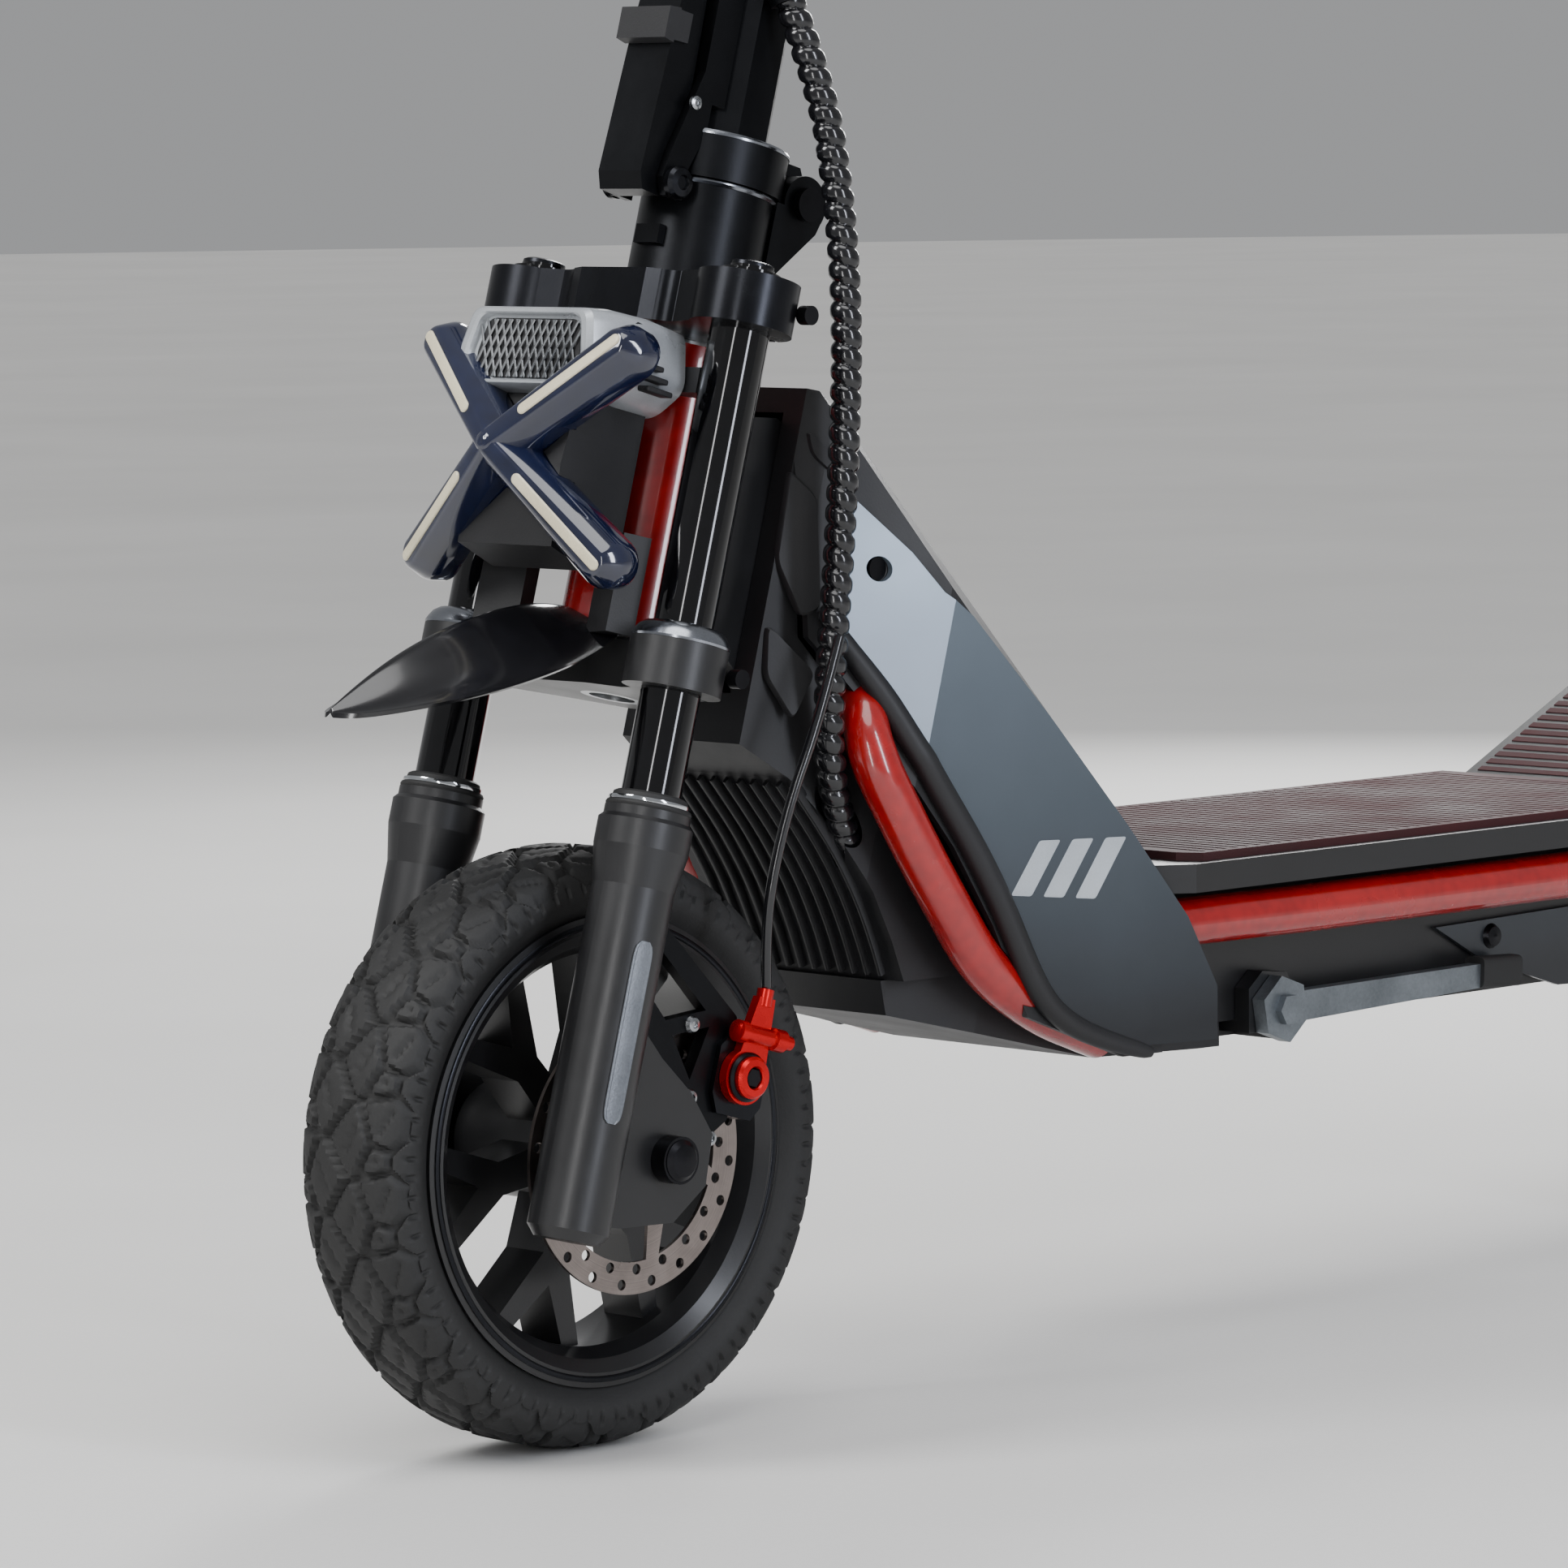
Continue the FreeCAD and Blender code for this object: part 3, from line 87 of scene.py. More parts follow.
AXLE_BEHIND_STEERING = 23.3      # how far the front axle sits behind the steering axis
LEG = (30.0, 71.0)               # fork legs: forward and sideways of the steering axis
SHOCK_EYES = 109.124             # from the upper to the lower eye of a rear damper
SHOCK_Y = 76.0
LOG = logging.getLogger("scooter")
Array = np.ndarray
Solid = bpy.types.Object


# ------------------------------------------------------------------ frames and mesh building
@dataclass(frozen=True)
class SteeringFrame:
    """Place of the steering frame in the scooter's frame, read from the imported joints."""

    origin: Array
    forward: Array
    up: Array

    @classmethod
    def from_joints(cls, joints: Sequence[dict], trail: float) -> "SteeringFrame":
        """Works the frame out from the steering axis and the front axle.

        Args:
            joints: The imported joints.
            trail: How far the axle sits behind the steering axis, in millimetres.

        Returns:
            The steering frame.
        """
        steer = next(j for j in joints if j["name"] == "steer")
        wheel = next(j for j in joints if j["name"] == "front_wheel_spin")
        up = np.array(steer["axis"], float)
        up /= np.linalg.norm(up)
        forward = np.cross([0.0, 1.0, 0.0], up)
        axle = np.array(wheel["pos_m"], float) / MM
        return cls(axle + forward * trail, forward, up)

    def place(self, points: Array) -> Array:
        """Moves points from the steering frame to the scooter's frame, both in millimetres."""
        p = np.asarray(points, float)
        return (self.origin + p[..., :1] * self.forward + p[..., 1:2] * np.array([0.0, 1.0, 0.0])
                + p[..., 2:3] * self.up)


def new_object(name: str, verts: Array, faces: Sequence[Sequence[int]], smooth_deg: float = 40.0,
               closed: bool = True) -> Solid:
    """Makes a mesh object at the origin.

    Args:
        name: Name of the object.
        verts: Points in millimetres, one row each.
        faces: Faces as lists of point numbers.
        smooth_deg: Edges that turn by more than this stay sharp.
        closed: Whether the surface is closed, so that its normals can be turned outwards.

    Returns:
        The object, linked to the scene.
    """
    mesh = bpy.data.meshes.new(name)
    mesh.from_pydata((np.asarray(verts, float) * MM).tolist(), [], [list(f) for f in faces])
    if closed:
        work = bmesh.new()
        work.from_mesh(mesh)
        bmesh.ops.remove_doubles(work, verts=work.verts, dist=WELD_M)
        bmesh.ops.recalc_face_normals(work, faces=work.faces)
        work.to_mesh(mesh)
        work.free()
    mesh.shade_smooth()
    mesh.set_sharp_from_angle(angle=math.radians(smooth_deg))
    obj = bpy.data.objects.new(name, mesh)
    bpy.context.scene.collection.objects.link(obj)
    return obj


def grid_faces(rows: int, columns: int, closed_path: bool) -> list[list[int]]:
    """Quads of a grid of points stored row by row, each row closed on itself.

    Args:
        rows: Number of rows.
        columns: Number of points in a row.
        closed_path: Whether the last row joins the first.

    Returns:
        The quads as lists of point numbers.
    """
    i, j = np.meshgrid(np.arange(rows if closed_path else rows - 1), np.arange(columns), indexing="ij")
    i2 = (i + 1) % rows
    j2 = (j + 1) % columns
    quads = np.stack([i * columns + j, i * columns + j2, i2 * columns + j2, i2 * columns + j], -1)
    return quads.reshape(-1, 4).tolist()


def loft(name: str, rings: Array, closed_path: bool = False, smooth_deg: float = 40.0) -> Solid:
    """Skin over closed rings of points, one ring for each step along a path, with its open ends capped.

    Args:
        name: Name of the object.
        rings: Array of shape (steps, points, 3).
        closed_path: Whether the last ring joins the first.
        smooth_deg: Edges that turn by more than this stay sharp.

    Returns:
        The object.
    """
    steps, points = rings.shape[:2]
    faces = grid_faces(steps, points, closed_path)
    if not closed_path:
        faces.append(list(range(points))[::-1])
        faces.append(list(range((steps - 1) * points, steps * points)))
    return new_object(name, rings.reshape(-1, 3), faces, smooth_deg)


def lathe(profile: Array, axis: str, centre: Sequence[float], count: int = 96) -> Array:
    """Rings of a surface of revolution: point = centre + r (cos t, sin t) across the axis + s along it.

    Args:
        profile: Closed list of (r, s) pairs.
        axis: "x", "y" or "z", the axis of revolution.
        centre: A point on the axis.
        count: Steps round the axis.

    Returns:
        Array of shape (count, len(profile), 3) for a closed loft.
    """
    t = np.linspace(0, 2 * math.pi, count, endpoint=False)[:, None]
    r = np.asarray(profile, float)[None, :, 0]
    s = np.asarray(profile, float)[None, :, 1] + 0 * t
    a, b = r * np.cos(t), r * np.sin(t)
    order = {"x": (s, a, b), "y": (a, s, b), "z": (a, b, s)}[axis]
    return np.stack(order, -1) + np.asarray(centre, float)


def spline(points: Sequence[Sequence[float]], count: int) -> Array:
    """Uniform cubic B-spline: each point is the usual four-weight mean of its neighbouring control points.

    Args:
        points: Control points of any dimension; the curve starts at the first and ends at the last.
        count: Points wanted.

    Returns:
        Array of count points.
    """
    p = np.asarray(points, float)
    p = np.vstack([2 * p[0] - p[1], p, 2 * p[-1] - p[-2]])
    spans = len(p) - 3
    u = np.linspace(0, spans, count)
    i = np.minimum(u.astype(int), spans - 1)
    f = (u - i)[:, None]
    k = [p[i + n] for n in range(4)]
    w = [(1 - f) ** 3, 3 * f ** 3 - 6 * f ** 2 + 4, -3 * f ** 3 + 3 * f ** 2 + 3 * f + 1, f ** 3]
    return sum(a * b for a, b in zip(w, k)) / 6


def carry(path: Array, section: Array, up: Sequence[float] = (0, 0, 1)) -> Array:
    """Carries a flat section along a path: point = path + a * side + b * top, with side = tangent x up.

    Args:
        path: Points of the path, shape (n, 3).
        section: Shape (m, 2) for one section, or (n, m, 2) for one at each point.
        up: Direction that the section's second coordinate leans to.

    Returns:
        Rings of shape (n, m, 3).
    """
    tangent = np.gradient(path, axis=0)
    tangent /= np.linalg.norm(tangent, axis=1, keepdims=True)
    side = np.cross(tangent, np.asarray(up, float))
    side /= np.linalg.norm(side, axis=1, keepdims=True)
    top = np.cross(side, tangent)
    sec = np.broadcast_to(section, (len(path),) + np.shape(section)[-2:])
    return path[:, None] + sec[..., :1] * side[:, None] + sec[..., 1:] * top[:, None]


def distances(path: Array) -> Array:
    """Distance of each point of a path from its start, measured along the path."""
    return np.concatenate([[0], np.cumsum(np.linalg.norm(np.diff(path, axis=0), axis=1))])


def circle(r: float, count: int = 16) -> Array:
    """Points of a circle of radius r in the plane."""
    t = np.linspace(0, 2 * math.pi, count, endpoint=False)
    return np.stack([r * np.cos(t), r * np.sin(t)], -1)


def rounded(points: Sequence[Sequence[float]], r: float, steps: int = 4) -> Array:
    """Outline with each corner replaced by a quadratic curve that starts and ends r from the corner.

    Args:
        points: Corners of a closed outline, (n, 2).
        r: Distance from the corner where its curve starts, cut down on short sides.
        steps: Points on each curve.

    Returns:
        The rounded outline, (n * steps, 2).
    """
    p = np.asarray(points, float)
    before, after = np.roll(p, 1, 0) - p, np.roll(p, -1, 0) - p
    l0, l1 = np.linalg.norm(before, axis=1), np.linalg.norm(after, axis=1)
    cut = np.minimum(r, 0.45 * np.minimum(l0, l1))
    a = p + before * (cut / l0)[:, None]
    b = p + after * (cut / l1)[:, None]
    t = np.linspace(0, 1, steps)[None, :, None]
    curve = (1 - t) ** 2 * a[:, None] + 2 * t * (1 - t) * p[:, None] + t ** 2 * b[:, None]
    return curve.reshape(-1, 2)


def slab(outline: Array, low: float, high: float, axis: str = "y", edge: float = 0.6) -> Array:
    """Rings of an outline pushed from low to high, its two rims eased by edge.

    The outline shrinks towards its centre by edge at both faces.

    Args:
        outline: Closed outline, (n, 2), in the two coordinates across the axis.
        low: Start along the axis.
        high: End along the axis.
        axis: "x", "y" or "z".
        edge: Size of the eased rim.

    Returns:
        Rings of shape (4, n, 3).
    """
    o = np.asarray(outline, float)
    before, after = o - np.roll(o, 1, 0), np.roll(o, -1, 0) - o
    tangent = before / np.maximum(np.linalg.norm(before, axis=1, keepdims=True), 1e-9)
    tangent += after / np.maximum(np.linalg.norm(after, axis=1, keepdims=True), 1e-9)
    tangent /= np.maximum(np.linalg.norm(tangent, axis=1, keepdims=True), 1e-9)
    area = np.sum(o[:, 0] * np.roll(o[:, 1], -1) - np.roll(o[:, 0], -1) * o[:, 1])
    inward = np.stack([-tangent[:, 1], tangent[:, 0]], -1) * math.copysign(1.0, area)
    small = o + inward * edge
    rings = []
    for shape, s in ((small, low), (o, low + edge), (o, high - edge), (small, high)):
        along = np.full(len(o), s)
        a, b = shape[:, 0], shape[:, 1]
        rings.append(np.stack({"x": (along, a, b), "y": (a, along, b), "z": (a, b, along)}[axis], -1))
    return np.array(rings)


def spun(name: str, profile: Sequence[Sequence[float]], axis: str, centre: Sequence[float], side: int = 1,
         count: int = 48, frame: Optional[SteeringFrame] = None) -> Solid:
    """Turned solid.

    Args:
        name: Name of the object.
        profile: Closed list of (radius, distance along the axis) pairs.
        axis: "x", "y" or "z".
        centre: A point on the axis.
        side: -1 mirrors the profile along the axis.
        count: Steps round the axis.
        frame: Steering frame that the centre is given in, or None for the scooter's.

    Returns:
        The object.
    """
    turned = np.array(profile, float) * [1, side]
    turned[:, 0] = np.maximum(turned[:, 0], 0.01)
    rings = lathe(turned, axis, centre, count)
    return loft(name, frame.place(rings) if frame else rings, closed_path=True, smooth_deg=30)


def joined(name: str, parts: Sequence[Solid]) -> Solid:
    """Joins finished pieces of one finish into a single object."""
    if len(parts) > 1:
        with bpy.context.temp_override(active_object=parts[0], selected_objects=parts,
                                       selected_editable_objects=parts):
            bpy.ops.object.join()
    parts[0].name = name
    parts[0].data.name = name
    return parts[0]


# ------------------------------------------------------------------ finishes
def linear(code: str) -> tuple[float, float, float, float]:
    """Turns an sRGB hex code into a linear colour."""
    srgb = [int(code[i:i + 2], 16) / 255 for i in (1, 3, 5)]
    rgb = [c / 12.92 if c <= 0.04045 else ((c + 0.055) / 1.055) ** 2.4 for c in srgb]
    return (rgb[0], rgb[1], rgb[2], 1.0)


def add_node(tree: bpy.types.NodeTree, kind: str, settings: Optional[dict] = None,
             links: Optional[dict] = None) -> bpy.types.Node:
    """Adds one node.

    Args:
        tree: The node tree.
        kind: The node's type name.
        settings: Input values by socket name or number, or node properties by name.
        links: Output sockets to connect, by the name or number of the input.

    Returns:
        The node.
    """
    node = tree.nodes.new(kind)
    for key, value in (settings or {}).items():
        if isinstance(key, int) or key in node.inputs:
            node.inputs[key].default_value = value
        else:
            setattr(node, key, value)
    for key, socket in (links or {}).items():
        tree.links.new(socket, node.inputs[key])
    return node


RAMP = (0.35, 0.9)               # where the dark and the light tone stand
PATCHES = (0.3, 0.7)             # usual lowest and highest value of the patch noise
RELIEF_SHARE = 0.35              # how much the fine relief shades the colour
PATCH_SHARE_UNDER_SHADE = 0.06                # how much the patches move the colour under painted shade that darkens a paint towards its foot


class Pattern(Enum):
    """How a surface's fine relief runs."""

    GRAIN = "even grain of a mould or a powder coat"
    PEEL = "long soft waves of sprayed lacquer"
    BRUSHED = "fine lines along the piece"
    TURNED = "fine rings about the wheel axle"


@dataclass(frozen=True)
class Finish:
    """One real material with the way its surface was made."""

    name: str
    dark: str
    light: str
    roughness: tuple[float, float]
    metallic: float = 0.0
    pattern: Pattern = Pattern.GRAIN
    scale_mm: float = 0.8
    depth_mm: float = 0.02
    patch_mm: float = 60.0
    coat: float = 0.0
    coat_roughness: float = 0.08
    glow: float = 0.0
    centre_mm: tuple[float, float, float] = (0.0, 0.0, 0.0)
    # heights of the darkest and the lightest tone of painted shade that darkens a face towards its foot
    painted_shade_z_mm: Optional[tuple[float, float]] = None

    def build(self) -> bpy.types.Material:
        """Builds the material: broad patches vary colour and roughness, the fine pattern gives relief."""
        material = bpy.data.materials.get(self.name)
        if material:
            return material
        material = bpy.data.materials.new(self.name)
        material.use_nodes = True
        tree = material.node_tree
        tree.nodes.clear()
        place = add_node(tree, "ShaderNodeTexCoord").outputs["Object"]
        patches = add_node(tree, "ShaderNodeTexNoise", {"Scale": 1000 / self.patch_mm, "Detail": 5.0,
                                                        "Roughness": 0.6}, {"Vector": place})
        relief = self._relief(tree, place)
        mix = add_node(tree, "ShaderNodeMath", {"operation": "MULTIPLY_ADD", 1: RELIEF_SHARE},
                       {0: relief, 2: patches.outputs["Fac"]})
        colour = add_node(tree, "ShaderNodeValToRGB", links={"Fac": self._tone(tree, place, mix.outputs[0])})
        for stop, position, tone in zip(colour.color_ramp.elements, RAMP, (self.dark, self.light)):
            stop.position = position
            stop.color = linear(tone)
        gloss = add_node(tree, "ShaderNodeMapRange",
                         {"To Min": self.roughness[0], "To Max": self.roughness[1],
                          "From Min": PATCHES[0], "From Max": PATCHES[1]}, {"Value": patches.outputs["Fac"]})
        bump = add_node(tree, "ShaderNodeBump", {"Strength": 1.0, "Distance": self.depth_mm * MM},
                        {"Height": relief})
        shader = add_node(tree, "ShaderNodeBsdfPrincipled",
                          {"Metallic": self.metallic, "Coat Weight": self.coat,
                           "Coat Roughness": self.coat_roughness},
                          {"Base Color": colour.outputs["Color"], "Roughness": gloss.outputs[0],
                           "Normal": bump.outputs["Normal"]})
        if self.glow:
            shader.inputs["Emission Color"].default_value = linear(self.light)
            shader.inputs["Emission Strength"].default_value = self.glow
        add_node(tree, "ShaderNodeOutputMaterial", links={"Surface": shader.outputs["BSDF"]})
        return material

    def _tone(self, tree: bpy.types.NodeTree, place: bpy.types.NodeSocket,
              mix: bpy.types.NodeSocket) -> bpy.types.NodeSocket:
        """Returns what picks the colour: the patches, or the height for painted shade that darkens the paint
        towards the foot.
        """
        if self.painted_shade_z_mm is None:
            return mix
        # painted shade: the colour darkens as the height falls
        height = add_node(tree, "ShaderNodeSeparateXYZ", links={0: place}).outputs["Z"]
        low, high = (z * MM for z in self.painted_shade_z_mm)
        painted_shade = add_node(tree, "ShaderNodeMapRange",
                        {"From Min": low, "From Max": high, "To Min": 0.3, "To Max": 0.9}, {"Value": height})
        return add_node(tree, "ShaderNodeMath", {"operation": "MULTIPLY_ADD", 1: PATCH_SHARE_UNDER_SHADE},
                        {0: mix, 2: painted_shade.outputs[0]}).outputs[0]

    def _relief(self, tree: bpy.types.NodeTree, place: bpy.types.NodeSocket) -> bpy.types.NodeSocket:
        """Adds the fine pattern and returns its height from 0 to 1."""
        size = 1000 / self.scale_mm
        if self.pattern is Pattern.TURNED:
            centre = tuple(c * MM for c in self.centre_mm)
            local = add_node(tree, "ShaderNodeVectorMath", {"operation": "SUBTRACT", 1: centre}, {0: place})
            flat = add_node(tree, "ShaderNodeVectorMath", {"operation": "MULTIPLY", 1: (1.0, 0.0, 1.0)},
                            {0: local.outputs[0]})
            radius = add_node(tree, "ShaderNodeVectorMath", {"operation": "LENGTH"}, {0: flat.outputs[0]})
            settings = {"noise_dimensions": "1D", "Scale": size, "Detail": 2.0}
            return add_node(tree, "ShaderNodeTexNoise", settings,
                            {"W": radius.outputs["Value"]}).outputs["Fac"]
        stretch = (1.0, 1.0, 0.03 if self.pattern is Pattern.BRUSHED else 1.0)
        mapped = add_node(tree, "ShaderNodeMapping", {"Scale": stretch}, {"Vector": place})
        detail = 0.0 if self.pattern is Pattern.PEEL else 3.0
        return add_node(tree, "ShaderNodeTexNoise", {"Scale": size, "Detail": detail},
                        {"Vector": mapped.outputs[0]}).outputs["Fac"]


# Black anodised extrusion: a dark metal with a soft, slightly grainy sheen.
ANODISED = Finish(
    "black_anodised_aluminium_bead_blasted", "#121315", "#1d1e21", (0.30, 0.42), 0.85, scale_mm=0.7)
# Machined then anodised clamp: darker, with finer and brighter edges.
MACHINED = Finish(
    "graphite_anodised_aluminium_machined", "#1b1c1f", "#2a2b2f", (0.22, 0.32), 0.9, Pattern.BRUSHED, 0.5,
    0.006)
# Hard black coating on a ground tube: almost a mirror.
COATED_TUBE = Finish(
    "black_diamond_coating_ground", "#08080a", "#101013", (0.05, 0.10), 0.6, Pattern.PEEL, 6.0, 0.004,
    coat=0.6, coat_roughness=0.03)
# Powder coat on the fork legs and frame: satin, with a faint grain.
POWDER_BLACK = Finish(
    "black_powder_coat_sprayed", "#0b0b0c", "#151517", (0.34, 0.46), 0.0, scale_mm=0.9, depth_mm=0.03,
    coat=0.15, coat_roughness=0.3)
# Red gloss lacquer over primer on steel tube: deep, wet and slightly wavy.
RED_LACQUER = Finish(
    "red_polyester_lacquer_sprayed", "#7d0508", "#a50c0e", (0.22, 0.3), 0.0, Pattern.PEEL, 5.0, 0.02,
    coat=0.9, coat_roughness=0.06)
# Red anodising on cast and turned brake parts: a saturated metal.
RED_ANODISED = Finish(
    "red_anodised_aluminium_machined", "#b00a10", "#d8161b", (0.24, 0.34), 0.75, scale_mm=0.6,
    depth_mm=0.01)
# Grey metallic paint on the pressed side plates: fine flake under a clear coat; its grey-blue at the top is
# painted light and its black at the foot is painted shade.
GREY_METALLIC = Finish(
    "grey_metallic_paint_painted_light_and_shade", "#222428", "#6f7b86", (0.32, 0.38), 0.5, scale_mm=0.5,
    depth_mm=0.006, coat=0.3, coat_roughness=0.2, painted_shade_z_mm=(170.0, 430.0))
# Glass-filled nylon covers: matte black, with the etched texture of the mould.
MOULDED_NYLON = Finish(
    "black_glass_filled_nylon_moulded", "#0d0d0f", "#18181b", (0.48, 0.6), scale_mm=1.0, depth_mm=0.06)
# Gloss ABS of the front mudguard: dark and reflective.
GLOSS_ABS = Finish(
    "black_abs_moulded_polished", "#08080a", "#111114", (0.14, 0.22), pattern=Pattern.PEEL, scale_mm=8.0,
    depth_mm=0.01, coat=0.4)
# Silver-painted ABS cowl: light, with a soft metal sheen.
SILVER_ABS = Finish(
    "silver_painted_abs_moulded", "#9a9ea3", "#c4c8cc", (0.26, 0.34), 0.45, scale_mm=0.6, depth_mm=0.01,
    coat=0.3)
# Tyre tread rubber: deep grey-black, dry and dusty in patches.
TREAD_RUBBER = Finish(
    "black_natural_rubber_vulcanised", "#101010", "#1f1f1f", (0.62, 0.8), scale_mm=1.4, depth_mm=0.12,
    patch_mm=90.0)
# Powder-coated cast wheel.
RIM_BLACK = Finish(
    "black_powder_coat_on_cast_wheel", "#0c0c0d", "#18181a", (0.3, 0.42), 0.2, scale_mm=1.1,
    depth_mm=0.04, coat=0.3, coat_roughness=0.25)
# Zinc-plated and plain steel of bearings, springs and rods.
STEEL = Finish(
    "steel_ground_and_plated", "#8d9093", "#b9bbbd", (0.2, 0.34), 1.0, Pattern.BRUSHED, 0.4, 0.004)
# Chrome of the seal rings.
CHROME = Finish("steel_chrome_plated", "#a9adb1", "#dfe2e5", (0.06, 0.12), 1.0, Pattern.PEEL, 6.0, 0.003)
# Stainless brake disc: warm grey, turned rings, a little heat colour.
ROTOR_STEEL = Finish(
    "stainless_steel_turned_disc", "#6b6360", "#9b918c", (0.26, 0.4), 1.0, Pattern.TURNED, 0.6, 0.02,
    patch_mm=25.0, centre_mm=(FRONT_AXLE_X, 0.0, 140.0))
# Blackened steel screws.
BLACK_SCREW = Finish(
    "steel_black_oxide_screw", "#17171a", "#28282b", (0.28, 0.4), 0.9, scale_mm=0.5, depth_mm=0.01)
# Forged and tumbled stand leg: dull grey metal.
TUMBLED = Finish(
    "grey_aluminium_forged_and_tumbled", "#5d6368", "#83898e", (0.36, 0.5), 0.85, scale_mm=1.6,
    depth_mm=0.05, patch_mm=30.0)
# Soft moulded grip rubber.
GRIP_RUBBER = Finish("black_tpe_moulded", "#0e0e0f", "#191919", (0.6, 0.74), scale_mm=0.7, depth_mm=0.05)
# Dark red foot mat.
MAT_RUBBER = Finish(
    "dark_red_silicone_mat_moulded", "#26070a", "#3f1014", (0.72, 0.86), scale_mm=0.9, depth_mm=0.05)
# Smoked lamp lens over a navy reflector: deep gloss.
LENS_NAVY = Finish(
    "smoked_polycarbonate_moulded", "#0b1022", "#161d38", (0.08, 0.14), pattern=Pattern.PEEL,
    scale_mm=9.0, depth_mm=0.006, coat=1.0, coat_roughness=0.03)
# Unlit diffuser of the light bars: cream and milky.
DIFFUSER = Finish(
    "cream_acrylic_light_guide", "#b3a98f", "#d9d1b6", (0.3, 0.4), scale_mm=1.0, depth_mm=0.01, coat=0.3,
    glow=0.12)
# Red tail lens.
TAIL_LENS = Finish(
    "red_acrylic_lens_moulded", "#7a0507", "#a80a0d", (0.1, 0.16), pattern=Pattern.PEEL, scale_mm=7.0,
    depth_mm=0.01, coat=1.0, coat_roughness=0.03)
# Spiral wrap and cable jackets: polished PVC.
CABLE_PVC = Finish(
    "black_pvc_extruded_spiral_wrap", "#0c0c0e", "#161619", (0.14, 0.22), pattern=Pattern.PEEL,
    scale_mm=4.0, depth_mm=0.01, coat=0.3)
# Display glass.
SCREEN = Finish(
    "tempered_glass_black_printed", "#050507", "#0a0a0d", (0.04, 0.08), pattern=Pattern.PEEL,
    scale_mm=20.0, depth_mm=0.002, coat=0.8, coat_roughness=0.02)
# Blue shrink film on the battery.
SHRINK_FILM = Finish(
    "blue_pvc_shrink_film", "#10264d", "#1b3a70", (0.25, 0.35), pattern=Pattern.PEEL, scale_mm=12.0,
    depth_mm=0.15)
# Cast controller case.
CAST_ALLOY = Finish(
    "aluminium_die_cast", "#7c7f82", "#9da0a3", (0.42, 0.55), 0.9, scale_mm=1.8, depth_mm=0.06)
# Laminated and wound stator.
LAMINATED = Finish(
    "copper_wound_laminated_steel", "#6b3a1c", "#a4683a", (0.3, 0.42), 0.9, Pattern.BRUSHED, 0.8, 0.03)
# Pale grey metal on turned rings and chamfers: the pale colour is a painted highlight on the edges of dark
# anodised parts; the metal also catches the lights.
PAINTED_HIGHLIGHT_ANODISED = Finish(
    "pale_anodised_aluminium_painted_highlight", "#6c6f76", "#a3a7ae", (0.16, 0.24), 1.0, Pattern.BRUSHED, 0.4,
    0.003)
# Grey glass-bead reflector tape.
REFLECTIVE = Finish(
    "grey_glass_bead_reflector", "#4b4f55", "#7b8087", (0.3, 0.4), 0.3, scale_mm=1.2, depth_mm=0.15)
# Printed light grey mark.
PRINT_GREY = Finish(
    "light_grey_screen_print", "#9aa0a6", "#b4babf", (0.4, 0.5), scale_mm=0.8, depth_mm=0.01)

NODES_BY_FINISH: dict[Finish, str] = {
    RED_LACQUER: "head_tube frame_tubes",
    POWDER_BLACK: "frame_spine deck_tray deck_lid kick_plate lower_clamp fork_sliders",
    MOULDED_NYLON: "neck_cover belly_cover rear_fender lamp_housing display_unit control_pods "
            "latch_catch",
    GREY_METALLIC: "side_panels",
    BLACK_SCREW: "panel_bolts clamp_bolts fold_pin front_axle brake_lever_left brake_lever_right",
    MAT_RUBBER: "deck_mat",
    SHRINK_FILM: "battery_pack",
    CAST_ALLOY: "motor_controller",
    TAIL_LENS: "tail_lamp",
    STEEL: "headset_bearings steerer front_bearings shock_rods",
    GRIP_RUBBER: "charge_cap grips",
    MACHINED: "top_clamp brake_caliper",
    COATED_TUBE: "stanchions",
    LENS_NAVY: "lamp_cross",
    DIFFUSER: "light_strips",
    GLOSS_ABS: "front_fender thumb_throttle horn_button",
    ANODISED: "stem_base caliper_bracket stem_tube handlebar handlebar_clamp latch_lever swingarm "
            "shock_bodies",
    RED_ANODISED: "caliper_arm",
    RIM_BLACK: "front_rim hub_motor",
    ROTOR_STEEL: "brake_rotor",
    TUMBLED: "kickstand_leg",
    LAMINATED: "motor_stator",
}


def dress(obj: Solid, finish: Finish) -> None:
    """Gives an object one finish."""
    material = finish.build()
    if obj.material_slots:
        for slot in obj.material_slots:
            slot.material = material
    else:
        obj.data.materials.append(material)


def settle(obj: Solid, finish: Finish, body: str) -> Solid:
    """Dresses a finished piece and makes it ride on a body."""
    dress(obj, finish)
    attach(obj, body)
    LOG.info("%s rides on %s", obj.name, body)
    return obj


@dataclass(frozen=True)
class TurnedSet:
    """Equal turned solids that make one piece of the looks, in the steering frame.

    Attributes:
        name: Name of the piece.
        profile: Closed list of (radius, distance along the axis) pairs.
        axis: "x", "y" or "z".
        places: Centre and side of each solid; a side of -1 mirrors the profile along the axis.
        count: Steps round the axis.
        finish: The finish.
        body: Body that the piece rides on.
        slot: Slot of the record's material; not used.
    """

    name: str
    profile: tuple
    axis: str
    places: tuple
    count: int
    finish: Finish
    body: str
    slot: str

    def solids(self, steering: SteeringFrame) -> list[Solid]:
        """Turns the solids."""
        return [spun(self.name, self.profile, self.axis, centre, side, self.count, steering)
                for centre, side in self.places]

    def build(self, steering: SteeringFrame) -> None:
        """Turns the solids and settles them as one piece."""
        settle(joined(self.name, self.solids(steering)), self.finish, self.body)


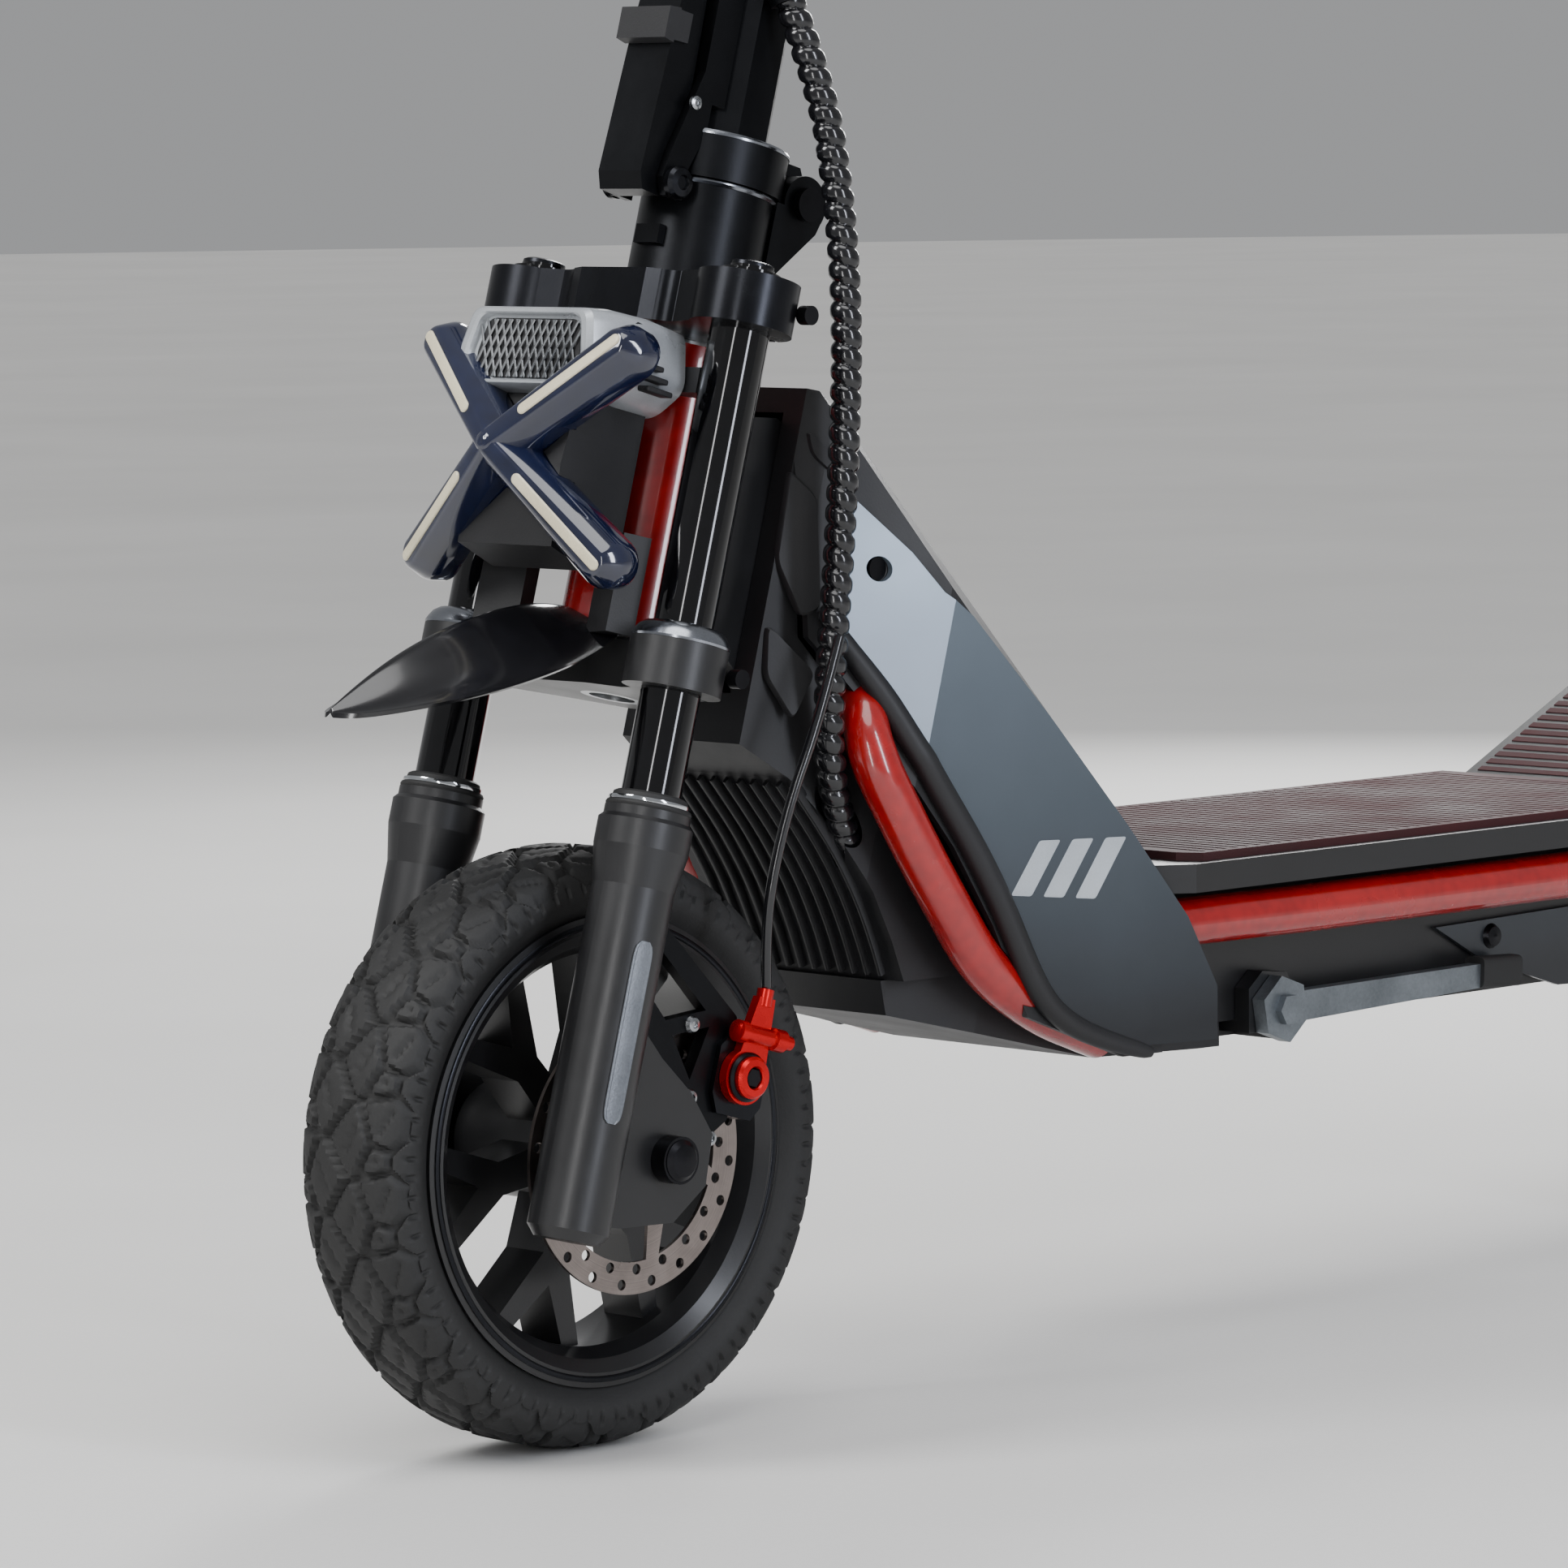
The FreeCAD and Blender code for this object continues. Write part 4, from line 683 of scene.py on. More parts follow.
# ------------------------------------------------------------------ wheels
@dataclass
class Wheels:
    """Both tyres with their block tread, the turned rim lips and the motor's cover screws."""

    radius: float = 140.0
    half_width: float = 35.0
    periods: int = 24            # repeats of the tread round the wheel
    groove: float = 3.0          # width of the grooves
    depth: float = 3.4           # depth of the grooves
    steps: int = 750
    crown_points: int = 112
    inner_points: int = 18
    side_notches: int = 88
    screws: int = 8              # on each motor cover
    screw_circle: float = 70.0

    def tread_drop(self, around: Array, across: Array) -> Array:
        """Depth of the tread pattern below the crown, in millimetres.

        Staggered rows of block centres are laid on the crown, some of them weaker so that their blocks are
        smaller. A point's groove depth rises smoothly where its weighted distances to the two nearest centres
        are about equal. A short slit crosses the middle of each block.

        Args:
            around: Distance round the wheel.
            across: Distance across the crown, from its middle.

        Returns:
            The drop at each point.
        """
        pitch = 2 * math.pi * self.radius / self.periods
        rows = [(9.5, 0.0, 0.0), (-9.5, 0.5, 0.0)]       # place across, shift in pitches, weakness
        for side in (1, -1):
            shift = 0.25 if side > 0 else 0.75
            rows += [(side * 28.0, shift, 0.0), (side * 24.0, shift + 0.5, 5.0),
                     (side * 43.0, shift + 0.5, 0.0), (side * 44.0, shift, 4.0)]
        reach, slits = [], []
        for place, shift, weakness in rows:
            nearest = np.round(around / pitch - shift)
            for extra in (-1, 0, 1):
                along = around - (nearest + extra + shift) * pitch
                side = across - place
                reach.append(np.hypot(along * 0.9, side) + weakness)
                slits.append(np.abs(0.4 * along - 0.9 * side * np.sign(place)))
        reach = np.array(reach)
        stack = np.sort(reach, axis=0)[:2]
        slit = np.take_along_axis(np.array(slits), np.argmin(reach, axis=0)[None], 0)[0]
        groove = 1 - np.clip((stack[1] - stack[0] - self.groove * 0.6) / (self.groove * 0.7), 0, 1)
        cut = (1 - np.clip((slit - 0.7) / 0.9, 0, 1)) * (1 - np.clip((stack[0] - 5.5) / 1.5, 0, 1))
        return self.depth * np.maximum(groove, 0.4 * cut)

    def tyre(self, name: str, node: str, body: str, centre: Array) -> None:
        """Builds one tyre: a section curve turned about the axle, with the tread cut into its crown."""
        w = self.half_width
        half = [(100, 24), (104, 27.5), (109, 27), (113, 31), (119, w + 0.5), (127, w), (134, 30.5),
                (138.6, 22), (140.8, 10)]
        outer = spline(half + [(r, -y) for r, y in reversed(half)], self.crown_points)
        inner = spline([(101, -19), (110, -21), (116, -27), (124, -28), (130, -22), (132, 0), (130, 22),
                        (124, 28), (116, 27), (110, 21), (101, 19)], self.inner_points)
        length = distances(outer)
        t = np.linspace(0, 2 * math.pi, self.steps, endpoint=False)[:, None]
        across = (length - length[-1] / 2)[None, :] + 0 * t
        drop = self.tread_drop(self.radius * t + 0 * across, across)
        drop *= np.clip((outer[:, 0] - 124.0) / 5.0, 0, 1)[None, :]
        band = np.exp(-((outer[:, 0] - 124.5) / 3.2) ** 2)[None, :]
        teeth = 1.6 * band * (np.mod(t * self.side_notches / (2 * math.pi), 1.0) < 0.24)
        r = np.minimum(outer[None, :, 0], self.radius) - drop
        y = outer[None, :, 1] * (1 - teeth / w) + 0 * t
        r = np.hstack([r, inner[None, :, 0] + 0 * t])
        y = np.hstack([y, inner[None, :, 1] + 0 * t])
        rings = np.stack([centre[0] + r * np.cos(t), centre[1] + y, centre[2] + r * np.sin(t)], -1)
        piece = loft(name, rings, closed_path=True, smooth_deg=34)
        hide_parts(node)
        settle(piece, TREAD_RUBBER, body)

    def lip(self, name: str, body: str, centre: Array) -> None:
        """Turned edge on both sides of a rim."""
        rings = []
        for side in (1, -1):
            profile = rounded([(104.2, side * 31.4), (105.4, side * 32.5), (107.6, side * 32.0),
                               (107.0, side * 30.6)], 0.5, 3)
            rings.append(loft(name + "_half", lathe(profile, "y", centre, 160), closed_path=True))
        settle(joined(name, rings), MACHINED, body)

    def motor_screws(self, centre: Array) -> None:
        """Ring of button-head screws on both covers of the hub motor."""
        profile = [(0, 35.8), (3.6, 35.8), (3.4, 37.6), (2.0, 38.3), (1.2, 37.4), (0, 37.2)]
        heads = []
        for side in (1, -1):
            for k in range(self.screws):
                a = math.radians(360 / self.screws * k + 12)
                place = centre + [self.screw_circle * math.cos(a), 0, self.screw_circle * math.sin(a)]
                heads.append(spun("motor_screw", profile, "y", place, side, 16))
        settle(joined("motor_cover_screws", heads), BLACK_SCREW, "rear_wheel")

    def build(self, front: Array, rear: Array) -> None:
        """Builds the pieces of both wheels."""
        self.tyre("front_tyre_tread", "front_tyre", "front_wheel", front)
        self.tyre("rear_tyre_tread", "rear_tyre", "rear_wheel", rear)
        self.lip("front_rim_lips", "front_wheel", front)
        self.lip("rear_rim_lips", "rear_wheel", rear)
        self.motor_screws(rear)


# ------------------------------------------------------------------ cords
@dataclass
class Cords:
    """The spiral-wrapped control harness and the brake cable."""

    harness: tuple = ((359, 31, 668), (352, 44, 630), (353, 57, 575), (359, 67, 517), (367, 72, 460),
                      (373, 73, 405), (377, 70, 350), (371, 63, 302), (338, 44, 264))
    cable: tuple = ((381, 81.5, 374), (398, 85, 338), (415, 82, 300), (424, 78.5, 264), (425, 75, 237),
                    (421.9, 71.8, 213.5))
    harness_r: float = 7.5
    cable_r: float = 2.5
    wrap_pitch: float = 9.5
    wrap_depth: float = 2.3
    harness_split_z: float = 566.0   # heights at which a cord is parted between two joints
    cable_split_z: float = 292.0

    def line(self, route: Sequence[Sequence[float]], spacing: float) -> Array:
        """Points of the smooth line of a route: its NURBS spline read back, then spread evenly.

        Args:
            route: Control points in millimetres.
            spacing: Distance between the points returned.

        Returns:
            The points, in millimetres.
        """
        curve = bpy.data.curves.new("route", "CURVE")
        curve.dimensions = "3D"
        run = curve.splines.new("NURBS")
        run.points.add(len(route) - 1)
        flat = np.column_stack([np.array(route, float), np.ones(len(route))])
        run.points.foreach_set("co", flat.ravel())
        run.order_u = 3
        run.use_endpoint_u = True
        run.resolution_u = 16
        holder = bpy.data.objects.new("route", curve)
        mesh = bpy.data.meshes.new_from_object(holder)
        points = np.empty(len(mesh.vertices) * 3)
        mesh.vertices.foreach_get("co", points)
        points = points.reshape(-1, 3)
        bpy.data.objects.remove(holder)
        bpy.data.meshes.remove(mesh)
        bpy.data.curves.remove(curve)
        length = distances(points)
        wanted = np.linspace(0, length[-1], max(4, int(length[-1] / spacing)))
        return np.column_stack([np.interp(wanted, length, points[:, k]) for k in range(3)])

    def tube(self, name: str, path: Array, r: float, wrap: bool, offset: float) -> Solid:
        """Tube along a path. The wrap's radius follows a helix: it falls off beside each turn of the strip.

        Args:
            name: Name of the piece.
            path: Evenly spread points.
            r: Outer radius.
            wrap: Whether the tube has the spiral strip round it.
            offset: Distance along the whole cord at which this path starts.

        Returns:
            The piece.
        """
        count = 28 if wrap else 14
        angle = np.linspace(0, 2 * math.pi, count, endpoint=False)[None, :]
        along = offset + distances(path)[:, None]
        radius = r + 0 * along * angle
        if wrap:
            turn = np.mod(along / self.wrap_pitch - angle / (2 * math.pi), 1.0)
            radius = r - self.wrap_depth * np.clip(np.abs(turn - 0.5) * 2, 0, 1) ** 3
        section = np.stack([radius * np.cos(angle), radius * np.sin(angle)], -1)
        return loft(name, carry(path, section, up=(1, 0, 0)), smooth_deg=60)

    def piece(self, name: str, path: Array, r: float, wrap: bool, offset: float, bodies: tuple[str, str],
              blend: tuple[Array, Array]) -> Solid:
        """One stretch of cord, dressed and baked in place."""
        obj = self.tube(name, path, r, wrap, offset)
        dress(obj, CABLE_PVC)
        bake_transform(obj)
        return obj

    def build(self) -> None:
        """Builds both cords, each in two stretches so that each stretch crosses one joint."""
        line = self.line(self.harness, 0.8)
        split = int(np.argmin(np.abs(line[:, 2] - self.harness_split_z)))
        upper, lower = line[:split + 1], line[split:]
        offset = float(np.linalg.norm(np.diff(upper, axis=0), axis=1).sum())
        top = self.piece("harness_at_stem", upper, self.harness_r, True, 0.0, ("stem", "steering"),
                         (upper[8], upper[-12]))
        self.piece("harness_at_neck", lower, self.harness_r, True, offset, ("steering", "frame"),
                   (lower[8], lower[int(len(lower) * 0.33)]))
        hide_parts("control_harness")
        line = self.line(self.cable, 1.5)
        split = int(np.argmin(np.abs(line[:, 2] - self.cable_split_z)))
        high = self.piece("brake_cable_at_harness", line[:split + 1], self.cable_r, False, 0.0,
                          ("frame", "steering"), (line[2], line[split - 2]))
        self.piece("brake_cable_at_caliper", line[split:], self.cable_r, False, 0.0,
                   ("steering", "fork_lowers"), (line[split + 2], line[-6]))
        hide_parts("brake_cable")


# ------------------------------------------------------------------ springs
@dataclass
class Springs:
    """Coil springs in the fork legs and round the rear dampers."""

    fork_z: tuple[float, float] = (-34.8, 300.0)
    fork_coil: tuple[float, float, float] = (8.0, 1.4, 34)         # radius, wire radius, turns
    shock_coil: tuple[float, float, float] = (12.6, 2.2, 6.5)
    upper_seat: float = 18.4                                       # from the damper's eyes
    lower_seat: float = 17.4

    def coil(self, name: str, start: Array, end: Array, size: tuple[float, float, float]) -> Solid:
        """Helix of wire from start to end: point = axis + r (cos a, sin a), a rising with the height."""
        r, wire, turns = size
        axis = end - start
        length = np.linalg.norm(axis)
        axis = axis / length
        side = np.cross(axis, [0, 1, 0])
        side /= np.linalg.norm(side)
        other = np.cross(axis, side)
        t = np.linspace(0, 1, int(turns * 30))[:, None]
        a = 2 * math.pi * turns * t
        rise = wire + (length - 2 * wire) * t
        path = start + axis * rise + r * (np.cos(a) * side + np.sin(a) * other)
        return loft(name, carry(path, circle(wire, 8), up=axis), smooth_deg=60)

    def build(self, steering: SteeringFrame, top: Array, foot: Array) -> None:
        """Builds all four springs.

        Args:
            steering: The steering frame.
            top: Upper eye of the dampers, in the middle plane.
            foot: Lower eye of the dampers, in the middle plane.
        """
        ends = [steering.place(np.array([LEG[0], 0.0, z])) for z in self.fork_z]
        parts = [self.coil("fork_coil", ends[0] + shift, ends[1] + shift, self.fork_coil)
                 for shift in np.array([[0.0, LEG[1], 0.0], [0.0, -LEG[1], 0.0]])]
        fork = settle(joined("fork_coil_springs", parts), STEEL, "fork_lowers")
        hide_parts("fork_springs")
        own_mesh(fork)
        length = np.linalg.norm(foot - top)
        down = (foot - top) / length
        first = top + down * self.upper_seat
        last = top + down * (length - self.lower_seat)
        parts = [self.coil("shock_coil", first + shift, last + shift, self.shock_coil)
                 for shift in np.array([[0.0, SHOCK_Y, 0.0], [0.0, -SHOCK_Y, 0.0]])]
        rear = settle(joined("shock_coil_springs", parts), RED_LACQUER, "shock_body")
        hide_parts("shock_springs")
        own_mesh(rear)


# ------------------------------------------------------------------ lamp
@dataclass
class Lamp:
    """Cross-shaped running lamp with its light bars, the silver cowl above it and the cowl's grille.

    Places are in the steering frame.
    """

    centre: tuple[float, float, float] = (102.0, 0.0, 305.0)
    tips: tuple = ((89.0, 67.0, 359.0), (76.0, 67.0, 252.0))
    root_half: float = 10.5
    tip_half: float = 12.5
    strip_half: float = 2.7
    cowl: tuple = ((-34, 333), (-51, 346), (-44, 373.5), (44, 373.5), (51, 346), (34, 333))

    def bar(self, name: str, tip: Array, span: tuple[float, float], halves: tuple[float, float],
            steps: Sequence[tuple[float, float]], steering: SteeringFrame) -> Solid:
        """Bar towards a tip. Its outline is two half circles of different size joined by straight sides.

        Args:
            name: Name of the piece.
            tip: End of the arm's axis.
            span: Start and end of the outline along the axis, in millimetres.
            halves: Half widths at the start and the end.
            steps: Pairs of how far the outline is drawn in and how far forward it lies.
            steering: The steering frame.

        Returns:
            The piece.
        """
        start = np.array(self.centre)
        along = tip - start
        along /= np.linalg.norm(along)
        front = np.array([1.0, 0.0, 0.0]) - along * along[0]
        front /= np.linalg.norm(front)
        across = np.cross(along, front)
        turn = np.linspace(-math.pi / 2, math.pi / 2, 14)
        rings = []
        for inset, depth in steps:
            r0, r1 = halves[0] - inset, halves[1] - inset
            s = np.concatenate([span[1] - halves[1] + r1 * np.cos(turn),
                                span[0] + halves[0] - r0 * np.cos(turn)])
            w = np.concatenate([r1 * np.sin(turn), -r0 * np.sin(turn)])
            rings.append(start + s[:, None] * along + w[:, None] * across + depth * front)
        return loft(name, steering.place(np.array(rings)), smooth_deg=35)

    def cross(self, steering: SteeringFrame) -> None:
        """Four navy arms, and the cream bars let into them."""
        arms, strips = [], []
        body_steps = ((3.0, -14.4), (0.8, -13.8), (0.0, -11.5), (0.0, -3.0), (0.9, -0.8), (5.4, 6.8),
                      (6.4, 7.6), (7.6, 8.0))
        strip_steps = ((0.0, 7.6), (0.0, 8.4), (0.5, 8.9), (1.2, 9.0))
        for tip in self.tips:
            for side in (1, -1):
                end = np.array([tip[0], side * tip[1], tip[2]])
                length = float(np.linalg.norm(end - np.array(self.centre)))
                arms.append(self.bar("arm", end, (-self.root_half, length + 4),
                                     (self.root_half, self.tip_half), body_steps, steering))
                strips.append(self.bar("strip", end, (0.25 * length, 0.96 * length),
                                       (self.strip_half, self.strip_half), strip_steps, steering))
        piece = joined("lamp_cross_lens", arms)
        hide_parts("lamp_cross")
        settle(piece, LENS_NAVY, "steering")
        piece = joined("lamp_light_bars", strips)
        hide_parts("light_strips")
        settle(piece, DIFFUSER, "steering")

    def hood(self, steering: SteeringFrame) -> None:
        """Silver six-sided hood with a window in front, and the woven grille inside the window."""
        outline = rounded(self.cowl, 7, 6)
        middle = outline.mean(0)
        rings = []
        for v, scale in ((38, 0.98), (39, 1.02), (62, 1.05), (84, 1.0), (93.5, 0.92), (95.5, 0.86),
                         (95.5, 0.8), (94.5, 0.77), (91.4, 0.75)):
            shape = middle + (outline - middle) * scale
            rings.append(np.column_stack([np.full(len(outline), float(v)), shape]))
        settle(loft("lamp_cowl", steering.place(np.array(rings)), smooth_deg=28), SILVER_ABS, "steering")
        back = np.array([np.column_stack([np.full(len(outline), v), middle + (outline - middle) * 0.7])
                         for v in (90.6, 91.8)])
        settle(loft("grille_back", steering.place(back)), MOULDED_NYLON, "steering")
        low, high = middle[1] - 12, middle[1] + 15
        bars = []
        for y in np.arange(13) * 5.0 - 30.0:
            for lean in (6, -6):
                path = np.array([[92.6, y - lean, low], [92.8 + 0.05 * lean, y, (low + high) / 2],
                                 [92.6, y + lean, high]])
                bars.append(loft("grille_bar", steering.place(carry(path, circle(0.6, 6), up=(1, 0, 0)))))
        settle(joined("lamp_grille", bars), STEEL, "steering")

    def fins(self, steering: SteeringFrame) -> None:
        """Small black cooling fins on both sides of the cowl, in front of the fork legs."""
        parts = []
        for side in (1, -1):
            for k in range(4):
                v, u = 50 + 4 * k, 340 + 5 * k
                outline = rounded([(v, u), (v + 16, u), (v + 16, u + 2.6), (v, u + 2.6)], 1.0, 3)
                y0, y1 = sorted((side * 49.0, side * 56.5))
                parts.append(loft("fin", steering.place(slab(outline, y0, y1, "y", 0.4))))
        settle(joined("lamp_cowl_fins", parts), MOULDED_NYLON, "steering")

    def build(self, steering: SteeringFrame) -> None:
        """Builds the lamp."""
        self.cross(steering)
        self.hood(steering)
        self.fins(steering)


# ------------------------------------------------------------------ front mudguard
@dataclass
class Beak:
    """Front mudguard: a beak with a ridge along its middle and hollow flanks."""

    # forward, height, half width and drop at the edge
    stations: tuple = ((40, 243, 44, 9), (60, 241, 47, 25), (98, 225, 44, 31), (135, 200, 31, 23),
                       (160, 175, 14, 9), (167, 167, 3, 2))
    skin: float = 2.5

    def build(self, steering: SteeringFrame) -> None:
        """Carries the section along the stations: z falls by drop (1 - (1 - t)^1.9) at the share t."""
        stations = spline(self.stations, 60)
        t = np.linspace(-1, 1, 41)
        share = np.sqrt(t ** 2 * 0.985 + 0.015) - math.sqrt(0.015) * (1 - np.abs(t))
        fall = 1 - (1 - np.clip(share, 0, 1)) ** 1.9
        v, z, half, drop = (stations[:, k:k + 1] for k in range(4))
        outer = np.stack([v + 0 * t, half * t, z - drop * fall], -1)
        under = np.stack([v + 0 * t, half * 0.95 * t, z - self.skin - drop * fall * 0.97], -1)[:, ::-1]
        piece = loft("front_mudguard_beak", steering.place(np.concatenate([outer, under], 1)), smooth_deg=50)
        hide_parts("front_fender")
        settle(piece, GLOSS_ABS, "steering")


# ------------------------------------------------------------------ fork
BOTH_LEGS = (((LEG[0], LEG[1], 0.0), 1), ((LEG[0], -LEG[1], 0.0), 1))
FORK_SETS = (
    TurnedSet("fork_dust_seals", ((14.3, 152.0), (19.6, 152.0), (20.0, 153.2), (19.4, 154.4), (18.0, 154.6),
                                  (18.0, 156.6), (17.6, 156.8), (17.2, 158.6), (15.6, 159.6), (14.3, 159.6)),
              "z", BOTH_LEGS, 64, GRIP_RUBBER, "fork_lowers", "grip_rubber"),
    TurnedSet("fork_seal_rings", ((17.0, 154.6), (18.8, 154.7), (19.0, 155.6), (18.8, 156.5), (17.0, 156.6)),
              "z", BOTH_LEGS, 64, CHROME, "fork_lowers", "steel"),
    # domed collars on the lower clamp: their pale colour is a painted highlight
    TurnedSet("fork_lower_collars", ((14.3, 230.1), (23.0, 230.1), (23.2, 231.2), (22.2, 233.4),
                                     (20.4, 236.2), (17.6, 238.2), (14.3, 238.8)),
              "z", BOTH_LEGS, 64, PAINTED_HIGHLIGHT_ANODISED, "steering", "steel"),
    TurnedSet("fork_leg_caps", ((0, 406.8), (10.3, 406.8), (10.1, 408.6), (8.6, 409.4), (5.2, 409.4),
                                (5.0, 408.0), (0, 408.0)),
              "z", BOTH_LEGS, 40, MACHINED, "steering", "machined_dark"),
)


@dataclass
class ForkTrim:
    """Dust seals, collars with a painted highlight, leg caps and reflector strip of the fork, in the steering
    frame.
    """

    slider_r: float = 19.0
    strip_z: tuple[float, float] = (8.0, 92.0)
    strip_middle_deg: float = 78.0
    strip_half_deg: float = 14.0

    def build(self, steering: SteeringFrame) -> None:
        """Builds the pieces of both legs."""
        for turned in FORK_SETS:
            turned.build(steering)
        self.strip(steering)

    def strip(self, steering: SteeringFrame) -> None:
        """Reflector strip bent round the outside of the left leg, with a raised rim."""
        low, high = self.strip_z
        u = np.linspace(low, high, 43)[:, None]
        ease = np.sqrt(np.clip(1 - (np.abs(u - (low + high) / 2) / ((high - low) / 2 + 0.5)) ** 16, 0, 1))
        spread = np.linspace(-1, 1, 15)[None, :]
        a = np.radians(self.strip_half_deg * spread) * ease + math.radians(self.strip_middle_deg)
        rim = 0.5 * (np.abs(spread) > 0.8)
        outer_r = self.slider_r + 0.7 + rim + 0 * u
        inner_r = np.full_like(outer_r, self.slider_r - 0.4)
        r = np.hstack([outer_r, inner_r[:, ::-1]])
        a = np.hstack([a, a[:, ::-1]])
        rings = np.stack([LEG[0] + r * np.cos(a), LEG[1] + r * np.sin(a), u + 0 * a], -1)
        settle(loft("fork_reflector_strip", steering.place(rings), smooth_deg=30), REFLECTIVE, "fork_lowers")


# ------------------------------------------------------------------ brake
ARM_HUB = (-60.0, 0.0, 45.0)
ADJUSTER_CAP = TurnedSet(
    "brake_adjuster_cap", ((5.0, 76.3), (9.8, 76.3), (9.9, 78.6), (8.6, 80.0), (5.6, 80.2), (5.0, 79.2)),
    "y", ((ARM_HUB, 1),), 48, RED_ANODISED, "caliper_arm", "red_anodised")
CABLE_BARREL = TurnedSet(
    "brake_cable_barrel", ((0, -31), (3.4, -31), (3.6, -26), (5.4, -25.6), (5.4, -19), (4.2, -18.4),
                           (4.2, -1), (5.2, -0.6), (5.2, 4), (3.6, 4.8), (0, 4.8)),
    "x", (((ARM_HUB[0] + 8, 74.2, ARM_HUB[2] + 20), 1),), 32, RED_ANODISED, "caliper_arm", "red_anodised")
ADJUSTER_GROOVE = TurnedSet(
    "brake_adjuster_groove", ((0, 73.8), (11.6, 73.8), (11.6, 75.2), (10.4, 76.4), (0, 76.4)),
    "y", ((ARM_HUB, 1),), 48, BLACK_SCREW, "caliper_arm", "dark_steel")
BRACKET_SCREWS = TurnedSet(
    "brake_bracket_screws", ((0, 65.8), (4.2, 65.8), (4.2, 67.2), (3.2, 68.9), (1.8, 69.2), (1.6, 68.2),
                             (0, 68.2)),
    "y", (((-33, 0.0, 30), 1), ((-26, 0.0, 63), 1), ((-50, 0.0, 14), 1)), 24, STEEL, "fork_lowers", "steel")
AXLE_DOMES = TurnedSet(
    "front_axle_domes", ((0, 79.6), (8.6, 79.6), (9.6, 80.4), (7.4, 82.4), (3.2, 83.2), (0, 83.3)),
    "y", (((-AXLE_BEHIND_STEERING, 0.0, 0.0), 1), ((-AXLE_BEHIND_STEERING, 0.0, 0.0), -1)), 40,
    BLACK_SCREW, "fork_lowers", "dark_steel")


def build_brake_trim(steering: SteeringFrame) -> None:
    """Adjuster, cable barrel and screws of the front brake, and the domes of the axle's nuts."""
    ADJUSTER_GROOVE.build(steering)
    cap = ADJUSTER_CAP.solids(steering)
    hex_ring = circle(4.9, 6) + [ARM_HUB[0], ARM_HUB[2]]
    socket = loft("brake_adjuster_hex", steering.place(slab(hex_ring, 76.3, 79.0, "y", 0.5)), smooth_deg=20)
    settle(socket, BLACK_SCREW, "caliper_arm")
    settle(joined("brake_cable_barrel", cap + CABLE_BARREL.solids(steering)), RED_ANODISED, "caliper_arm")
    BRACKET_SCREWS.build(steering)
    AXLE_DOMES.build(steering)


